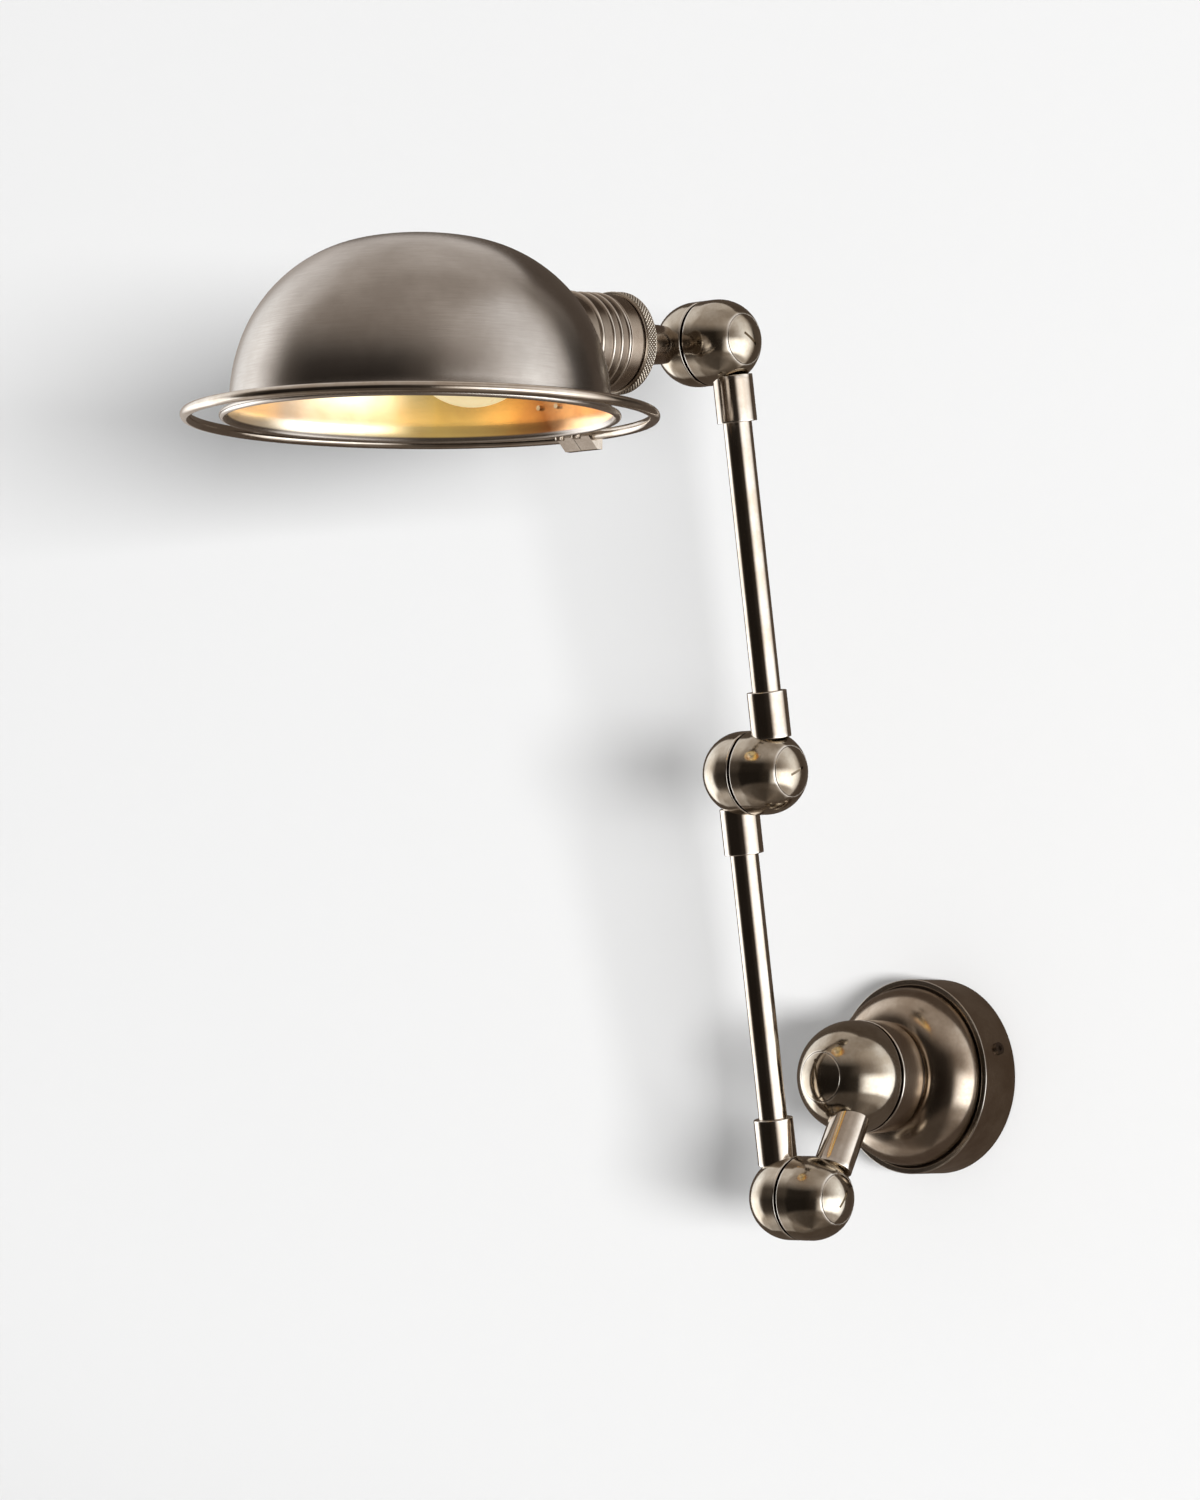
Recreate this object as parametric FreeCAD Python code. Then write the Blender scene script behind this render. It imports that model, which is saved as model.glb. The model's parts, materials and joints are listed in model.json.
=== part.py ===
import FreeCAD, Part
import math
import os
from FreeCAD import Placement, Rotation, Vector

# Jointed wall lamp: a back plate with a ball swivel, two arms between ball knuckles, and a domed shade.
# Millimetres, +Z up. The origin is the centre of the back plate on the wall, and the lamp reaches along -Y.

# Pose of the lamp at rest, in degrees
stub_lean = 29.0
arm_lean = 9.3
collar_rise = 4.4
set_screw_turn = 16.5

# Turns of the screwdriver slots from the vertical, in degrees: shoulder, elbow and wrist for the knuckles
ball_slot_turn = 12.0
knuckle_slot_turns = (35.0, 64.0, 121.0)

# Reach of the lamp
stub_reach = 83.6
stub_side = 9.0
lower_arm_length = 259.0
upper_arm_length = 259.0
shade_stand_off = 120.2
shade_drop_share = 0.583

# Clearances and cutting overrun
running_clearance = 0.05
seat_clearance = 0.1
body_gap = 0.3
overrun = 1.0

# Back plate
plate_radius = 60.0
plate_rim_depth = 28.8
plate_wall = 2.0
plate_edge = 0.6
plate_step = 3.6
plate_groove_width = 1.2
plate_groove_depth = 1.2
plate_step_wall = 2.8
plate_neck_radius = 31.0

# Mounting bracket behind the plate, with slots for a 4 inch box
bracket_clearance = 4.5
bracket_thickness = 2.0
box_screw_spacing = 88.9
box_slot_radius = 2.5
box_slot_length = 14.0
wire_hole_radius = 10.0
ear_width = 14.0
ear_thickness = 2.5
ear_depth = 20.0
ear_clearance = 1.0
set_screw_depth = 14.0
set_screw_radius = 2.0
set_screw_length = 8.0
set_screw_head_radius = 3.8
set_screw_head_height = 1.6
set_screw_socket_radius = 1.5
set_screw_hole_radius = 2.3

# Fixed half of the wall swivel
collar_radius = 34.6
collar_length = 21.3
collar_rounding = 3.6
spigot_radius = 20.0
spigot_length = 10.0
spigot_bore_radius = 14.0
lock_nut_flats = 46.0
lock_nut_height = 7.0

# Knuckle halves, shared by shoulder, elbow and wrist
knuckle_radius = 25.5
knuckle_inset = 8.3
knuckle_cap_radius = 15.2
knuckle_cavity_radius = 18.5
tube_offset = 15.9
tube_seat_radius = 20.5

# Moving half of the wall swivel
ball_radius = 34.4
ball_inset = 5.7
ball_cap_radius = 15.3
ball_cavity_radius = 22.0
stub_seat_radius = 24.0

# Details that every swivel shares
swivel_gap = 2.0
swivel_edge = 0.5
web_thickness = 5.0
cap_ledge = 2.0
cap_seat_depth = 2.2
cap_edge = 0.4
cap_recess_wall = 3.5
cap_recess_depth = 3.5
slot_width = 1.6
slot_depth = 1.8
knuckle_slot_length = 12.0
ball_slot_length = 22.0
washer_inset = 2.6
pivot_radius = 5.0
pivot_bore_radius = 3.2
pivot_head_radius = 8.0
pivot_head_height = 3.0
pivot_nut_flats = 15.0
pivot_nut_height = 5.0
pivot_tail = 1.5

# Arms
ferrule_radius = 12.0
ferrule_end = 48.7
ferrule_edge = 0.6
ferrule_socket_depth = 18.0
wire_bore_radius = 5.5
tube_radius = 8.65
tube_wall = 1.5
stub_bore_radius = 8.0

# Neck, knurled cap and socket housing, placed along the collar axis from the wrist
neck_radius = 11.2
neck_swell = 1.0
neck_spigot_radius = 9.0
neck_bore_radius = 5.2
cap_face = 61.2
cap_radius = 30.4
cap_end_wall = 5.0
cap_band = 7.2
cap_chamfer = 1.0
cap_groove = 0.8
cap_bead_radius = 30.0
cap_length = 10.0
housing_radius = 29.2
housing_waist_radius = 28.5
housing_wall = 2.4
housing_groove = 1.2
housing_spigot_wall = 1.8
housing_band = 9.6
ridge_height = 1.4
ridge_width = 2.4
ridge_places = (22.6, 29.4, 36.0)
flange_place = 46.0
flange_height = 1.9
flange_width = 3.4

# Lampholder and bulb, placed along the collar axis
bulb_radius_share = 0.3662
bulb_offset_share = 0.3875
bulb_stem_length = 33.6
bulb_glass = 1.0
bulb_neck_radius = 15.0
base_radius = 13.1
base_length = 26.5
base_tip_radius = 4.8
base_tip_height = 2.2
shell_clearance = 0.4
shell_thickness = 0.7
holder_wall = 5.0
holder_floor = 10.0
nipple_radius = 5.0
nipple_bore_radius = 3.0

# Dome
dome_radius = 108.4
dome_height_share = 0.9548
dome_wall = 1.2
dome_side_arc_share = 0.9446
dome_side_sweep = 21.5
dome_bend_arc_share = 0.8229
lip_bead_radius = 2.2
lip_flare_width = 3.7
lip_flare_height = 7.5
flare_middle_radius_share = 0.30
flare_middle_height_share = 0.48
fitter_ring_width = 4.0
fitter_ring_thickness = 3.0

# Handle ring round the shade and its clamp
ring_stand_off = 21.0
ring_rod_radius = 3.2
ring_end_gap = 2.0
clamp_width = 12.6
clamp_gap = 0.4
clamp_lip_gap = 4.2
clamp_overhang = 5.4
clamp_roof = 2.3
clamp_floor = 4.8
clamp_foot_bottom = -1.0
clamp_slope_inside = 6.6
clamp_slope_outside = 0.9
clamp_screw_radius = 1.6
clamp_screw_head_radius = 2.8
clamp_screw_head_height = 1.6
strap_thickness = 2.0
strap_stand_off = 0.8
strap_housing_gap = 3.0
rivet_radius = 1.5
rivet_head_radius = 2.6
rivet_head_height = 1.2
rivet_spacing = 14.0


# Points and directions worked out from the sizes
def turn_x(y, z, degrees):
    """A direction in the YZ plane, turned about +X."""
    angle = math.radians(degrees)
    return Vector(0, y * math.cos(angle) - z * math.sin(angle), y * math.sin(angle) + z * math.cos(angle))


right = Vector(1, 0, 0)
left = Vector(-1, 0, 0)
outward = Vector(0, -1, 0)
up = Vector(0, 0, 1)

bracket_radius = plate_radius - plate_wall - bracket_clearance
dome_height = dome_radius * dome_height_share
dome_side_arc = dome_radius * dome_side_arc_share
dome_bend_arc = dome_radius * dome_bend_arc_share
lip_bead_centre = dome_radius + lip_flare_width
shade_reach = dome_radius + shade_stand_off
shade_drop = dome_radius * shade_drop_share
bulb_radius = dome_radius * bulb_radius_share
bulb_offset = dome_radius * bulb_offset_share
ring_radius = lip_bead_centre + ring_stand_off
clamp_foot_inner = lip_bead_centre + lip_bead_radius + clamp_lip_gap
clamp_outer = ring_radius + clamp_overhang
clamp_slope_top = ring_radius - clamp_slope_inside
clamp_slope_bottom = ring_radius + clamp_slope_outside
clamp_screw_place = (clamp_foot_inner + clamp_slope_top) / 2
clamp_top = ring_rod_radius + clamp_roof
clamp_bottom = -ring_rod_radius - clamp_floor
strap_inner = dome_radius + strap_stand_off
housing_underside = shade_drop - shade_stand_off * math.sin(math.radians(collar_rise)) - housing_waist_radius
strap_top = housing_underside - strap_housing_gap
rivet_height = (clamp_top + strap_thickness + strap_top) / 2

plate_bulge_radius = plate_radius - plate_step - plate_groove_width - plate_neck_radius
plate_crown_depth = plate_rim_depth + plate_bulge_radius
plate_depth = plate_crown_depth + plate_wall
swivel_depth = plate_depth + collar_length + swivel_gap / 2
swivel_point = outward * swivel_depth

stub_dir = turn_x(0, -1, -stub_lean)
arm_dir = turn_x(0, 1, arm_lean)
collar_dir = turn_x(-1, 0, collar_rise)
stub_root = outward * (swivel_depth + ball_inset) + right * stub_side
shoulder = stub_root + stub_dir * stub_reach - right * tube_offset
elbow = shoulder + arm_dir * lower_arm_length
wrist = elbow + arm_dir * upper_arm_length
neck_root = wrist + left * tube_offset
shade_centre = neck_root + outward * shade_reach - up * shade_drop

web_top = swivel_gap / 2 + web_thickness
housing_start = cap_face + cap_length
bulb_centre = (shade_reach - bulb_offset) / math.cos(math.radians(collar_rise))
bulb_tip = bulb_centre - bulb_radius - bulb_stem_length
base_end = bulb_tip + base_tip_height + base_length
holder_radius = base_radius + shell_clearance + shell_thickness + holder_wall
holder_start = bulb_tip - body_gap - holder_floor


# Tools for making shapes
def placed(origin, axis, side=None):
    """Placement whose local Z is the axis and whose local X is nearest to the side direction."""
    if side is None:
        return Placement(origin, Rotation(up, axis))
    return Placement(origin, Rotation(side, Vector(0, 0, 0), axis, "ZXY"))


def profile(start, *steps):
    """Closed face in the local XZ plane. A step is an end point, or an arc's middle and end."""
    here = Vector(start[0], 0, start[1])
    first = here
    edges = []
    for step in steps:
        if isinstance(step[0], tuple):
            middle = Vector(step[0][0], 0, step[0][1])
            there = Vector(step[1][0], 0, step[1][1])
            edges.append(Part.Arc(here, middle, there).toShape())
        else:
            there = Vector(step[0], 0, step[1])
            edges.append(Part.LineSegment(here, there).toShape())
        here = there
    if here.distanceToPoint(first) > 0:
        edges.append(Part.LineSegment(here, first).toShape())
    return Part.Face(Part.Wire(edges))


def turned(face, place):
    """Solid of revolution about the local Z axis, set in its place."""
    solid = face.revolve(Vector(0, 0, 0), up, 360)
    solid.Placement = place
    return solid


def on_circle(centre_r, centre_z, radius, degrees):
    """Profile point on a circle, with the angle counted from the radial direction."""
    angle = math.radians(degrees)
    return (centre_r + radius * math.cos(angle), centre_z + radius * math.sin(angle))


def rod(origin, direction, radius, start, end):
    """Round bar along a direction, between two distances from the origin."""
    return Part.makeCylinder(radius, end - start, origin + direction * start, direction)


def pipe(origin, direction, radius, bore, start, end):
    """Round bar with a bore."""
    bar = rod(origin, direction, radius, start, end)
    return bar.cut(rod(origin, direction, bore, start - overrun, end + overrun))


def block(low, high, place=None):
    """Box between two local corners."""
    size = high - low
    shape = Part.makeBox(size.x, size.y, size.z, low)
    if place is not None:
        shape.Placement = place
    return shape


def hexagon(place, flats, start, end):
    """Six-sided bar along local Z."""
    corner = flats / math.sqrt(3)
    points = []
    for side in range(7):
        angle = math.radians(60 * side)
        points.append(Vector(corner * math.cos(angle), corner * math.sin(angle), start))
    bar = Part.Face(Part.makePolygon(points)).extrude(up * (end - start))
    bar.Placement = place
    return bar


def export(name, shape):
    """Write one node."""
    if isinstance(shape, (list, tuple)):
        shape = Part.makeCompound(shape)
    elif len(shape.Solids) == 1:
        shape = shape.Solids[0]
    shape.exportStep("parts/" + name + ".step")


# Back plate, its bracket and its screws
def back_plate():
    """Spun canopy: rim, stepped edge and round bulge up to a low boss for the collar."""
    step_in = plate_radius - plate_step
    groove_in = step_in - plate_groove_width
    inner = plate_radius - plate_wall
    bulge_in = plate_bulge_radius - plate_wall
    boss_in = plate_neck_radius - plate_wall
    bore = spigot_radius + seat_clearance
    face = profile(
        (plate_radius, 0),
        (plate_radius, plate_rim_depth - plate_edge),
        (plate_radius - plate_edge, plate_rim_depth),
        (step_in, plate_rim_depth),
        (step_in, plate_rim_depth - plate_groove_depth),
        (groove_in, plate_rim_depth - plate_groove_depth),
        (groove_in, plate_rim_depth),
        (on_circle(plate_neck_radius, plate_rim_depth, plate_bulge_radius, 45),
         on_circle(plate_neck_radius, plate_rim_depth, plate_bulge_radius, 90)),
        (plate_neck_radius, plate_depth),
        (bore, plate_depth),
        (bore, plate_crown_depth),
        (boss_in, plate_crown_depth),
        (boss_in, plate_crown_depth - plate_wall),
        (plate_neck_radius, plate_crown_depth - plate_wall),
        (on_circle(plate_neck_radius, plate_rim_depth, bulge_in, 45),
         on_circle(plate_neck_radius, plate_rim_depth, bulge_in, 0)),
        (plate_neck_radius + bulge_in, plate_rim_depth - plate_step_wall),
        (inner, plate_rim_depth - plate_step_wall),
        (inner, 0),
    )
    plate = turned(face, placed(Vector(0, 0, 0), outward))
    for screw in set_screw_axes():
        plate = plate.cut(rod(screw[0], screw[1], set_screw_hole_radius, 0, plate_radius + overrun))
    return plate


def set_screw_axes():
    """Root and direction of the two opposite set screws in the rim."""
    angle = math.radians(set_screw_turn)
    side = Vector(math.cos(angle), 0, math.sin(angle))
    root = outward * set_screw_depth
    return [(root, side), (root, side * -1)]


def mounting_bracket():
    """Flat disc on the wall box, with two slots and two bent ears for the set screws."""
    plate = rod(Vector(0, 0, 0), outward, bracket_radius, 0, bracket_thickness)
    ear_outer = plate_radius - plate_wall - ear_clearance
    for root, side in set_screw_axes():
        place = placed(Vector(0, 0, 0), outward, side)
        strip = block(Vector(0, -ear_width / 2, 0),
                      Vector(ear_outer, ear_width / 2, bracket_thickness), place)
        ear = block(Vector(ear_outer - ear_thickness, -ear_width / 2, 0),
                    Vector(ear_outer, ear_width / 2, ear_depth), place)
        tapped = rod(root, side, set_screw_radius + running_clearance, 0, plate_radius)
        plate = plate.fuse([strip, ear]).cut(tapped)
    plate = plate.cut(rod(Vector(0, 0, 0), outward, wire_hole_radius, -overrun, bracket_thickness + overrun))
    for side in (-1, 1):
        plate = plate.cut(box_slot(side * box_screw_spacing / 2))
    return plate.removeSplitter()


def box_slot(middle):
    """Slot along X through the bracket, for a box screw."""
    half = box_slot_length / 2 - box_slot_radius
    high = bracket_thickness + overrun
    slot = block(Vector(middle - half, -high, -box_slot_radius),
                 Vector(middle + half, overrun, box_slot_radius))
    for end in (middle - half, middle + half):
        slot = slot.fuse(rod(right * end, outward, box_slot_radius, -overrun, high))
    return slot


def plate_set_screws():
    """Two round-headed set screws with a hexagon socket."""
    screws = []
    for root, side in set_screw_axes():
        seat = plate_radius + running_clearance
        shank = rod(root, side, set_screw_radius, plate_radius - set_screw_length, seat)
        head = rod(root, side, set_screw_head_radius, seat, seat + set_screw_head_height)
        socket = hexagon(placed(root, side), 2 * set_screw_socket_radius,
                         seat, seat + 2 * set_screw_head_height)
        screws.append(shank.fuse(head).removeSplitter().cut(socket))
    return screws


def wall_collar():
    """Fixed half of the wall swivel, with the spigot that passes through the plate."""
    front = plate_depth + collar_length
    web = front - web_thickness
    tail = plate_depth - spigot_length
    rounding = plate_depth + collar_rounding
    face = profile(
        (pivot_radius + running_clearance, front),
        (collar_radius - swivel_edge, front),
        (collar_radius, front - swivel_edge),
        (collar_radius, rounding),
        (on_circle(collar_radius - collar_rounding, rounding, collar_rounding, -45),
         on_circle(collar_radius - collar_rounding, rounding, collar_rounding, -90)),
        (spigot_radius, plate_depth),
        (spigot_radius, tail),
        (spigot_bore_radius, tail),
        (spigot_bore_radius, web),
        (pivot_radius + running_clearance, web),
    )
    return turned(face, placed(Vector(0, 0, 0), outward))


def wall_lock_nut():
    """Hexagon nut on the spigot, against the inside of the plate."""
    start = plate_crown_depth - lock_nut_height
    nut = hexagon(placed(Vector(0, 0, 0), outward), lock_nut_flats, start, plate_crown_depth)
    bore = rod(Vector(0, 0, 0), outward, spigot_radius + seat_clearance, start - overrun, plate_depth)
    return nut.cut(bore)


# Swivel halves and what is on their axes
def swivel_half(place, radius, inset, cap_r, cavity_r, bore_r):
    """Half ball with a web at the mid-plane, a cavity and a seat for its cap."""
    seat = inset + math.sqrt(radius ** 2 - cap_r ** 2)
    ledge = seat - cap_seat_depth
    rim = math.degrees(math.asin((seat - inset) / radius))
    start = swivel_gap / 2
    mouth = cap_r - cap_ledge
    face = profile(
        (bore_r, start),
        (radius - swivel_edge, start),
        (radius, start + swivel_edge),
        (radius, inset),
        (on_circle(0, inset, radius, rim / 2), on_circle(0, inset, radius, rim)),
        (cap_r, ledge),
        (mouth, ledge),
        (mouth, ledge - cap_ledge),
        (cavity_r, inset + web_thickness),
        (cavity_r, web_top),
        (bore_r, web_top),
    )
    return turned(face, place)


def swivel_cap(place, radius, inset, cap_r, slot_length, slot_turn):
    """Domed cap that carries on the ball, with a screwdriver slot across its crown."""
    seat = inset + math.sqrt(radius ** 2 - cap_r ** 2)
    ledge = seat - cap_seat_depth
    edge = cap_r - seat_clearance
    shoulder_r = edge - cap_edge
    shoulder_z = inset + math.sqrt(radius ** 2 - shoulder_r ** 2)
    rim = math.degrees(math.asin((shoulder_z - inset) / radius))
    recess = cap_r - cap_recess_wall
    face = profile(
        (0, ledge + cap_recess_depth),
        (recess, ledge + cap_recess_depth),
        (recess, ledge),
        (edge, ledge),
        (edge, seat - cap_edge),
        (shoulder_r, shoulder_z),
        (on_circle(0, inset, radius, (rim + 90) / 2), on_circle(0, inset, radius, 90)),
    )
    cap = turned(face, place)
    crown = inset + radius
    slot = block(Vector(-slot_length / 2, -slot_width / 2, crown - slot_depth),
                 Vector(slot_length / 2, slot_width / 2, crown + overrun),
                 place.multiply(Placement(Vector(0, 0, 0), Rotation(up, slot_turn))))
    return cap.cut(slot)


def knuckle_half(centre, axis, tube_dir, bore_r):
    """Knuckle half with its round seat for a ferrule."""
    half = swivel_half(placed(centre, axis), knuckle_radius, knuckle_inset, knuckle_cap_radius,
                       knuckle_cavity_radius, bore_r)
    root = centre + axis * tube_offset
    seat = rod(root, tube_dir, ferrule_radius + seat_clearance, tube_seat_radius, 2 * knuckle_radius)
    half = half.cut(seat)
    return half.cut(rod(root, tube_dir, wire_bore_radius, 0, knuckle_radius))


def knuckle_cap(centre, axis, slot_turn):
    """Cap of a knuckle half. Its slot is turned from the vertical."""
    return swivel_cap(placed(centre, axis, up), knuckle_radius, knuckle_inset, knuckle_cap_radius,
                      knuckle_slot_length, slot_turn)


def friction_washer(centre, axis, radius):
    """Dark disc in the groove. It lies on the outer half and clears the inner one."""
    return pipe(centre, axis, radius - washer_inset, pivot_radius + seat_clearance,
                body_gap - swivel_gap / 2, swivel_gap / 2)


def pivot(centre, axis):
    """Hollow pivot bolt with its head in the outer half's cavity."""
    end = web_top + body_gap + pivot_nut_height + pivot_tail
    bolt = rod(centre, axis, pivot_radius, -end, web_top)
    top = web_top + pivot_head_height
    bolt = bolt.fuse(rod(centre, axis, pivot_head_radius, web_top, top))
    return bolt.cut(rod(centre, axis, pivot_bore_radius, -end - overrun, top + overrun))


def pivot_nut(centre, axis):
    """Hexagon nut on the far end of the pivot bolt."""
    start = -web_top - body_gap - pivot_nut_height
    nut = hexagon(placed(centre, axis), pivot_nut_flats, start, start + pivot_nut_height)
    return nut.cut(rod(centre, axis, pivot_radius + running_clearance, start - overrun, overrun))


# Wall swivel and stub
def wall_ball():
    """Moving half of the wall swivel, with the leaning seat of the stub."""
    ball = swivel_half(placed(swivel_point, outward), ball_radius, ball_inset, ball_cap_radius,
                       ball_cavity_radius, pivot_radius + seat_clearance)
    seat = rod(stub_root, stub_dir, ferrule_radius + seat_clearance, stub_seat_radius, 2 * ball_radius)
    ball = ball.cut(seat)
    return ball.cut(rod(stub_root, stub_dir, wire_bore_radius, 0, ball_radius))


def swivel_stub():
    """Short pipe from the wall ball to the shoulder."""
    return pipe(stub_root, stub_dir, ferrule_radius, stub_bore_radius,
                stub_seat_radius, stub_reach - tube_seat_radius)


# Arms
def ferrule(root, direction):
    """Sleeve between a knuckle and a tube."""
    floor = ferrule_end - ferrule_socket_depth
    socket = tube_radius + seat_clearance
    face = profile(
        (wire_bore_radius, tube_seat_radius),
        (ferrule_radius, tube_seat_radius),
        (ferrule_radius, ferrule_end - ferrule_edge),
        (ferrule_radius - ferrule_edge, ferrule_end),
        (socket, ferrule_end),
        (socket, floor),
        (wire_bore_radius, floor),
    )
    return turned(face, placed(root, direction))


def arm_tube(root, direction, length):
    """Plain tube seated in a ferrule at each end."""
    start = ferrule_end - ferrule_socket_depth + seat_clearance
    return pipe(root, direction, tube_radius, tube_radius - tube_wall, start, length - start)


# Neck, cap and housing on the collar axis
def shade_neck():
    """Short swelling neck from the wrist into the knurled cap."""
    end = cap_face + cap_end_wall
    middle = (tube_seat_radius + cap_face) / 2
    face = profile(
        (neck_bore_radius, tube_seat_radius),
        (neck_radius, tube_seat_radius),
        ((neck_radius + neck_swell, middle), (neck_radius, cap_face)),
        (neck_spigot_radius, cap_face),
        (neck_spigot_radius, end),
        (neck_bore_radius, end),
    )
    return turned(face, placed(neck_root, collar_dir))


def knurled_cap():
    """Screw cap of the socket housing, with its band, groove and bead."""
    band_end = cap_face + cap_chamfer + cap_band
    bead = band_end + cap_groove
    inner = housing_radius - housing_spigot_wall
    end = cap_face + cap_length - cap_groove
    face = profile(
        (neck_spigot_radius + seat_clearance, cap_face),
        (cap_radius - cap_chamfer, cap_face),
        (cap_radius, cap_face + cap_chamfer),
        (cap_radius, band_end),
        (cap_radius - cap_groove, bead - cap_groove / 2),
        (cap_bead_radius, bead),
        (cap_bead_radius, end),
        (inner, end),
        (inner, cap_face + cap_end_wall),
        (neck_spigot_radius + seat_clearance, cap_face + cap_end_wall),
    )
    return turned(face, placed(neck_root, collar_dir))


def socket_housing():
    """Ridged collar between the knurled cap and the dome, cut to the dome's outside."""
    spigot = housing_radius - housing_spigot_wall - seat_clearance
    bore = housing_waist_radius - housing_wall
    start = cap_face + cap_end_wall + seat_clearance
    band = housing_start + housing_groove
    steps = [
        (spigot, start),
        (spigot, housing_start),
        (housing_waist_radius, housing_start),
        (housing_radius, band),
        (housing_radius, band + housing_band),
    ]
    ribs = [(place, ridge_height, ridge_width) for place in ridge_places]
    ribs.append((flange_place, flange_height, flange_width))
    for place, height, width in ribs:
        middle = cap_face + place
        steps.append((housing_waist_radius, middle - width / 2))
        steps.append(((housing_waist_radius + height, middle), (housing_waist_radius, middle + width / 2)))
    steps.append((housing_waist_radius, shade_reach))
    steps.append((bore, shade_reach))
    face = profile((bore, start), *steps)
    housing = turned(face, placed(neck_root, collar_dir))
    return housing.cut(dome_solid(seat_clearance))


# Dome and what is fixed to it
def dome_points(offset):
    """Ends and middles of the dome's three tangent arcs, from the top of the flare to the crown."""
    sweep = math.radians(dome_side_sweep)
    side_x = dome_radius - dome_side_arc
    bend_x = side_x + (dome_side_arc - dome_bend_arc) * math.cos(sweep)
    bend_z = lip_flare_height + (dome_side_arc - dome_bend_arc) * math.sin(sweep)
    rise = dome_height - bend_z
    crown_arc = (bend_x ** 2 + rise ** 2 - dome_bend_arc ** 2) / (2 * (rise - dome_bend_arc))
    crown_z = dome_height - crown_arc
    meet = math.degrees(math.atan2(bend_z - crown_z, bend_x))
    side = dome_side_arc + offset
    bend = dome_bend_arc + offset
    crown = crown_arc + offset
    return [
        on_circle(side_x, lip_flare_height, side, 0),
        on_circle(side_x, lip_flare_height, side, dome_side_sweep / 2),
        on_circle(side_x, lip_flare_height, side, dome_side_sweep),
        on_circle(bend_x, bend_z, bend, (dome_side_sweep + meet) / 2),
        on_circle(bend_x, bend_z, bend, meet),
        on_circle(0, crown_z, crown, (meet + 90) / 2),
        (0, crown_z + crown),
    ]


def dome_solid(offset):
    """Space inside the dome's outside surface, moved out by the offset, down to the top of the flare."""
    p = dome_points(offset)
    face = profile(p[0], (p[1], p[2]), (p[3], p[4]), (p[5], p[6]), (0, lip_flare_height))
    return turned(face, placed(shade_centre, up))


def dome_shade():
    """Spun dome with a flared, rolled lip and a round opening for the housing."""
    middle_z = lip_flare_height * flare_middle_height_share
    middle_r = dome_radius + (lip_bead_centre - dome_radius) * flare_middle_radius_share
    outer = dome_points(0)
    inner = dome_points(-dome_wall)
    face = profile(
        outer[0],
        (outer[1], outer[2]),
        (outer[3], outer[4]),
        (outer[5], outer[6]),
        inner[6],
        (inner[5], inner[4]),
        (inner[3], inner[2]),
        (inner[1], inner[0]),
        ((middle_r - dome_wall, middle_z - dome_wall / 2),
         on_circle(lip_bead_centre, 0, lip_bead_radius, 190)),
        (on_circle(lip_bead_centre, 0, lip_bead_radius, -20),
         on_circle(lip_bead_centre, 0, lip_bead_radius, 130)),
        ((middle_r, middle_z), outer[0]),
    )
    dome = turned(face, placed(shade_centre, up))
    opening = housing_waist_radius - housing_wall - seat_clearance
    dome = dome.cut(rod(neck_root, collar_dir, opening, cap_face, shade_reach))
    for place in rivet_roots():
        hole = rod(place, Vector(0, 1, 0), rivet_radius + seat_clearance, 0, dome_radius + overrun)
        dome = dome.cut(hole)
    return dome


def fitter_ring():
    """Saddle-shaped ring inside the dome, round the opening, that holds the housing."""
    bore = housing_waist_radius - housing_wall
    ring = pipe(neck_root, collar_dir, bore + fitter_ring_width, bore, cap_face, shade_reach)
    near = dome_solid(-dome_wall - seat_clearance)
    far = dome_solid(-dome_wall - seat_clearance - fitter_ring_thickness)
    return ring.common(near).cut(far)


def handle_ring():
    """Round rod bent into a ring about the lip. Its two ends nearly meet in the clamp."""
    gap = math.degrees(ring_end_gap / ring_radius)
    circle = Part.makeTorus(ring_radius, ring_rod_radius, Vector(0, 0, 0), up, -180, 180, 360 - gap)
    spin = Placement(Vector(0, 0, 0), Rotation(up, 90 + gap / 2))
    circle.Placement = placed(shade_centre, up).multiply(spin)
    return circle


def ring_clamp_blocks():
    """Two blocks side by side that hold the ends of the ring, each with a sloping underside."""
    blocks = []
    cutter = Part.makeTorus(ring_radius, ring_rod_radius + running_clearance, shade_centre, up)
    for side in (-1, 1):
        near = side * clamp_gap / 2
        outline = [
            (clamp_foot_inner, clamp_foot_bottom),
            (clamp_foot_inner, clamp_top),
            (clamp_outer, clamp_top),
            (clamp_outer, clamp_bottom),
            (clamp_slope_bottom, clamp_bottom),
            (clamp_slope_top, clamp_foot_bottom),
            (clamp_foot_inner, clamp_foot_bottom),
        ]
        wire = Part.makePolygon([shade_centre + Vector(near, y, z) for y, z in outline])
        body = Part.Face(wire).extrude(right * (side * clamp_width))
        root = shade_centre + Vector(clamp_screw_x(side), clamp_screw_place, 0)
        body = body.cut(rod(root, up, clamp_screw_radius + seat_clearance, -2 * clamp_top, 2 * clamp_top))
        blocks.append(body.cut(cutter).Solids[0])
    return blocks


def clamp_screw_x(side):
    """Side distance of a clamp screw, in the middle of its block."""
    return side * (clamp_gap + clamp_width) / 2


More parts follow.
